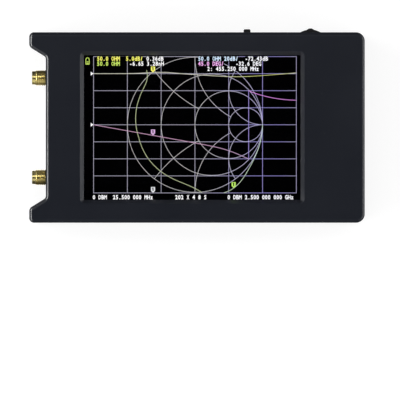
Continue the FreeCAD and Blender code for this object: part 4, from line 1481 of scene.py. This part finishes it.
def display_marker(name, place, light):
    """Marker shield, whose point stands on a place, and the number one in it."""
    x, y = place
    shoulder, top = y + shield_point, y + shield_tall
    outline = ((x, y), (x + shield_half, shoulder), (x + shield_half, top))
    outline += ((x - shield_half, top), (x - shield_half, shoulder))
    on_display("marker_" + name, lambda work: plate(work, outline, letter_height), lights[light])
    left, low, high = x - number_half, y + number_low, y + number_high

    def number(work):
        plate(work, rectangle(left, low, x + number_half, high), letter_height + layer_step)
        flag = ((left, high), (left - number_flag, high - number_flag), (left, high - 2 * number_flag))
        plate(work, flag, letter_height + layer_step)

    on_display("marker_" + name + "_number", number, finishes["display_glass"])


def display_markers():
    """Markers on the gain trace, the phase trace, the plot's lower edge and the polar trace."""
    phase_row = plot_rows / 2 + phase_turns(marker_column)
    display_marker("gain", plot_place(marker_column, gain_level(marker_column)), "yellow")
    display_marker("phase", plot_place(marker_column, phase_row), "pink_marker")
    display_marker("low", plot_place(marker_column, plot_rows), "white_marker")
    display_marker("polar", polar_place(marker_column / plot_columns), "green")


def display_pointers():
    """Reference triangles left of the plot."""

    def build(work):
        for row in (1.0, plot_rows / 2):
            x, y = plot_place(0.0, row)
            back = x - pointer_length
            plate(work, ((x, y), (back, y + pointer_half), (back, y - pointer_half)), letter_height)

    on_display("pointers", build, lights["white"])


def charge_sign():
    """Small outline of a battery with its charge."""
    x, y = plot_place(*sign_place)
    left, right = x - sign_half_width, x + sign_half_width
    low, high = y - sign_half_height, y + sign_half_height

    def build(work):
        outline = ((left, low), (right, low), (right, high), (x + sign_cap, high))
        outline += ((x + sign_cap, high + sign_cap), (x - sign_cap, high + sign_cap))
        outline += ((x - sign_cap, high), (left, high), (left, low))
        for first, last in zip(outline, outline[1:]):
            ribbon(work, [first, last], sign_line, letter_height)
        for step in range(2):
            level = low + (charge_first + step * charge_step)
            ribbon(work, [(x - charge_half, level), (x + charge_half, level)], charge_line, letter_height)

    on_display("charge_sign", build, lights["green"])


def display_picture():
    """Everything that the display shows."""
    display_mask()
    display_grid()
    display_chart()
    display_traces()
    for colour, lines in display_words.items():
        display_lines(colour, lines)
    display_line_cells()
    display_markers()
    display_pointers()
    charge_sign()


def dress_nodes():
    """Gives every carried-over node the finish of its material slot."""
    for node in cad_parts.values():
        for place in node.material_slots:
            place.material = finishes[place.material.name]


def softbox(name, azimuth, elevation, size, level):
    """Soft square lamp aimed at the object, bright enough to light a level surface by its share."""
    lamp = bpy.data.lights.new(name, "AREA")
    lamp.shape = "RECTANGLE"
    lamp.size, lamp.size_y = size
    turn, rise = math.radians(azimuth), math.radians(elevation)
    toward = Vector((math.cos(turn) * math.cos(rise), math.sin(turn) * math.cos(rise), math.sin(rise)))
    lamp.energy = level * math.pi ** 2 * softbox_distance ** 2 / abs(math.sin(rise))
    source = shown(name, lamp)
    source.location = toward * softbox_distance
    source.rotation_mode = "QUATERNION"
    source.rotation_quaternion = toward.to_track_quat("Z", "Y")
    source.visible_camera = False


def studio_world():
    """Surroundings brightest at the sides and dark overhead, and plain white behind the object."""
    world = bpy.data.worlds.new("studio")
    bpy.context.scene.world = world
    world.use_nodes = True
    tree = world.node_tree
    tree.nodes.clear()
    x, y, z = parts(output(tree, "ShaderNodeTexCoord", "Generated"))
    ramp = add(tree, "ShaderNodeValToRGB", {"Fac": spread(z, -1.0, 1.0)})
    ramp.color_ramp.elements[0].position = sky_levels[0][0]
    ramp.color_ramp.elements[1].position = sky_levels[-1][0]
    for position, level in sky_levels[1:-1]:
        ramp.color_ramp.elements.new(position)
    for element, (position, level) in zip(ramp.color_ramp.elements, sky_levels):
        element.color = grey(level)
    around = (abs(x) * sky_sideways + x * sky_rightward) + (y * sky_forward + sky_base)
    level = Value(tree, ramp.outputs["Color"]) * around
    seen = output(tree, "ShaderNodeLightPath", "Is Camera Ray")
    inputs = {"Color": blended(seen, level, white), "Strength": 1.0}
    end = tree.nodes.new("ShaderNodeOutputWorld")
    feed(end, "Surface", output(tree, "ShaderNodeBackground", "Background", inputs))


def pale_floor():
    """Plain white floor that keeps the object's shadow and is clear from below."""
    work = bmesh.new()
    bmesh.ops.create_grid(work, x_segments=1, y_segments=1, size=floor_size / 2)
    for vertex in work.verts:
        vertex.co.z = -floor_drop
    mesh = bpy.data.meshes.new("floor")
    work.to_mesh(mesh)
    work.free()
    plain = {"Base_Color": grey(floor_tone), "Roughness": 0.9, "Specular_IOR_Level": 0.0}
    glow = {"Emission_Strength": floor_glow, "Emission_Color": white}
    material, tree, shader = new_finish("floor_white", **plain, **glow)
    seen = output(tree, "ShaderNodeLightPath", "Is Camera Ray")
    solid = seen * (1.0 - output(tree, "ShaderNodeNewGeometry", "Backfacing"))
    clear = output(tree, "ShaderNodeBsdfTransparent", 0)
    inputs = {0: solid, 1: clear, 2: Value(tree, shader.outputs[0])}
    feed(tree.nodes["Material Output"], "Surface", output(tree, "ShaderNodeMixShader", 0, inputs))
    mesh.materials.append(material)
    floor = shown("floor", mesh)


def straight_camera():
    """Camera straight above the frame's middle, so far that it hardly shows depth."""
    data = bpy.data.cameras.new("camera")
    data.lens = lens_length
    data.sensor_width = sensor_width
    data.clip_start = 0.01
    data.clip_end = 100.0
    camera = shown("camera", data)
    distance = view_width * lens_length / sensor_width
    camera.location = (*view_centre, view_height + distance)
    bpy.context.scene.camera = camera


bpy.context.scene.view_settings.view_transform = "Standard"
straight_camera()
studio_world()
pale_floor()
for lamp_name, lamp_values in softboxes.items():
    softbox(lamp_name, *lamp_values)

dress_nodes()
for port, axis in (("port_one", jack_axis_spread), ("port_two", -jack_axis_spread)):
    threaded_jack(port + "_jack", axis)
    slit_contact(port + "_contact", axis)
rear_screws_low, rear_screws_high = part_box("cover_screws")
screw_set("cover_screws", rear_screws_high.z - rear_screws_low.z, rear_screws_low.z, points_up=True)
board_screws_low, board_screws_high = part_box("board_screws")
screw_set("board_screws", board_screws_high.z - board_screws_low.z, board_screws_high.z, points_up=False)
tongue_low, tongue_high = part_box("usb_socket_tongue")
socket_contact_row("socket_contacts_upper", tongue_high.z)
socket_contact_row("socket_contacts_lower", tongue_low.z)
knob_grip()
display_picture()
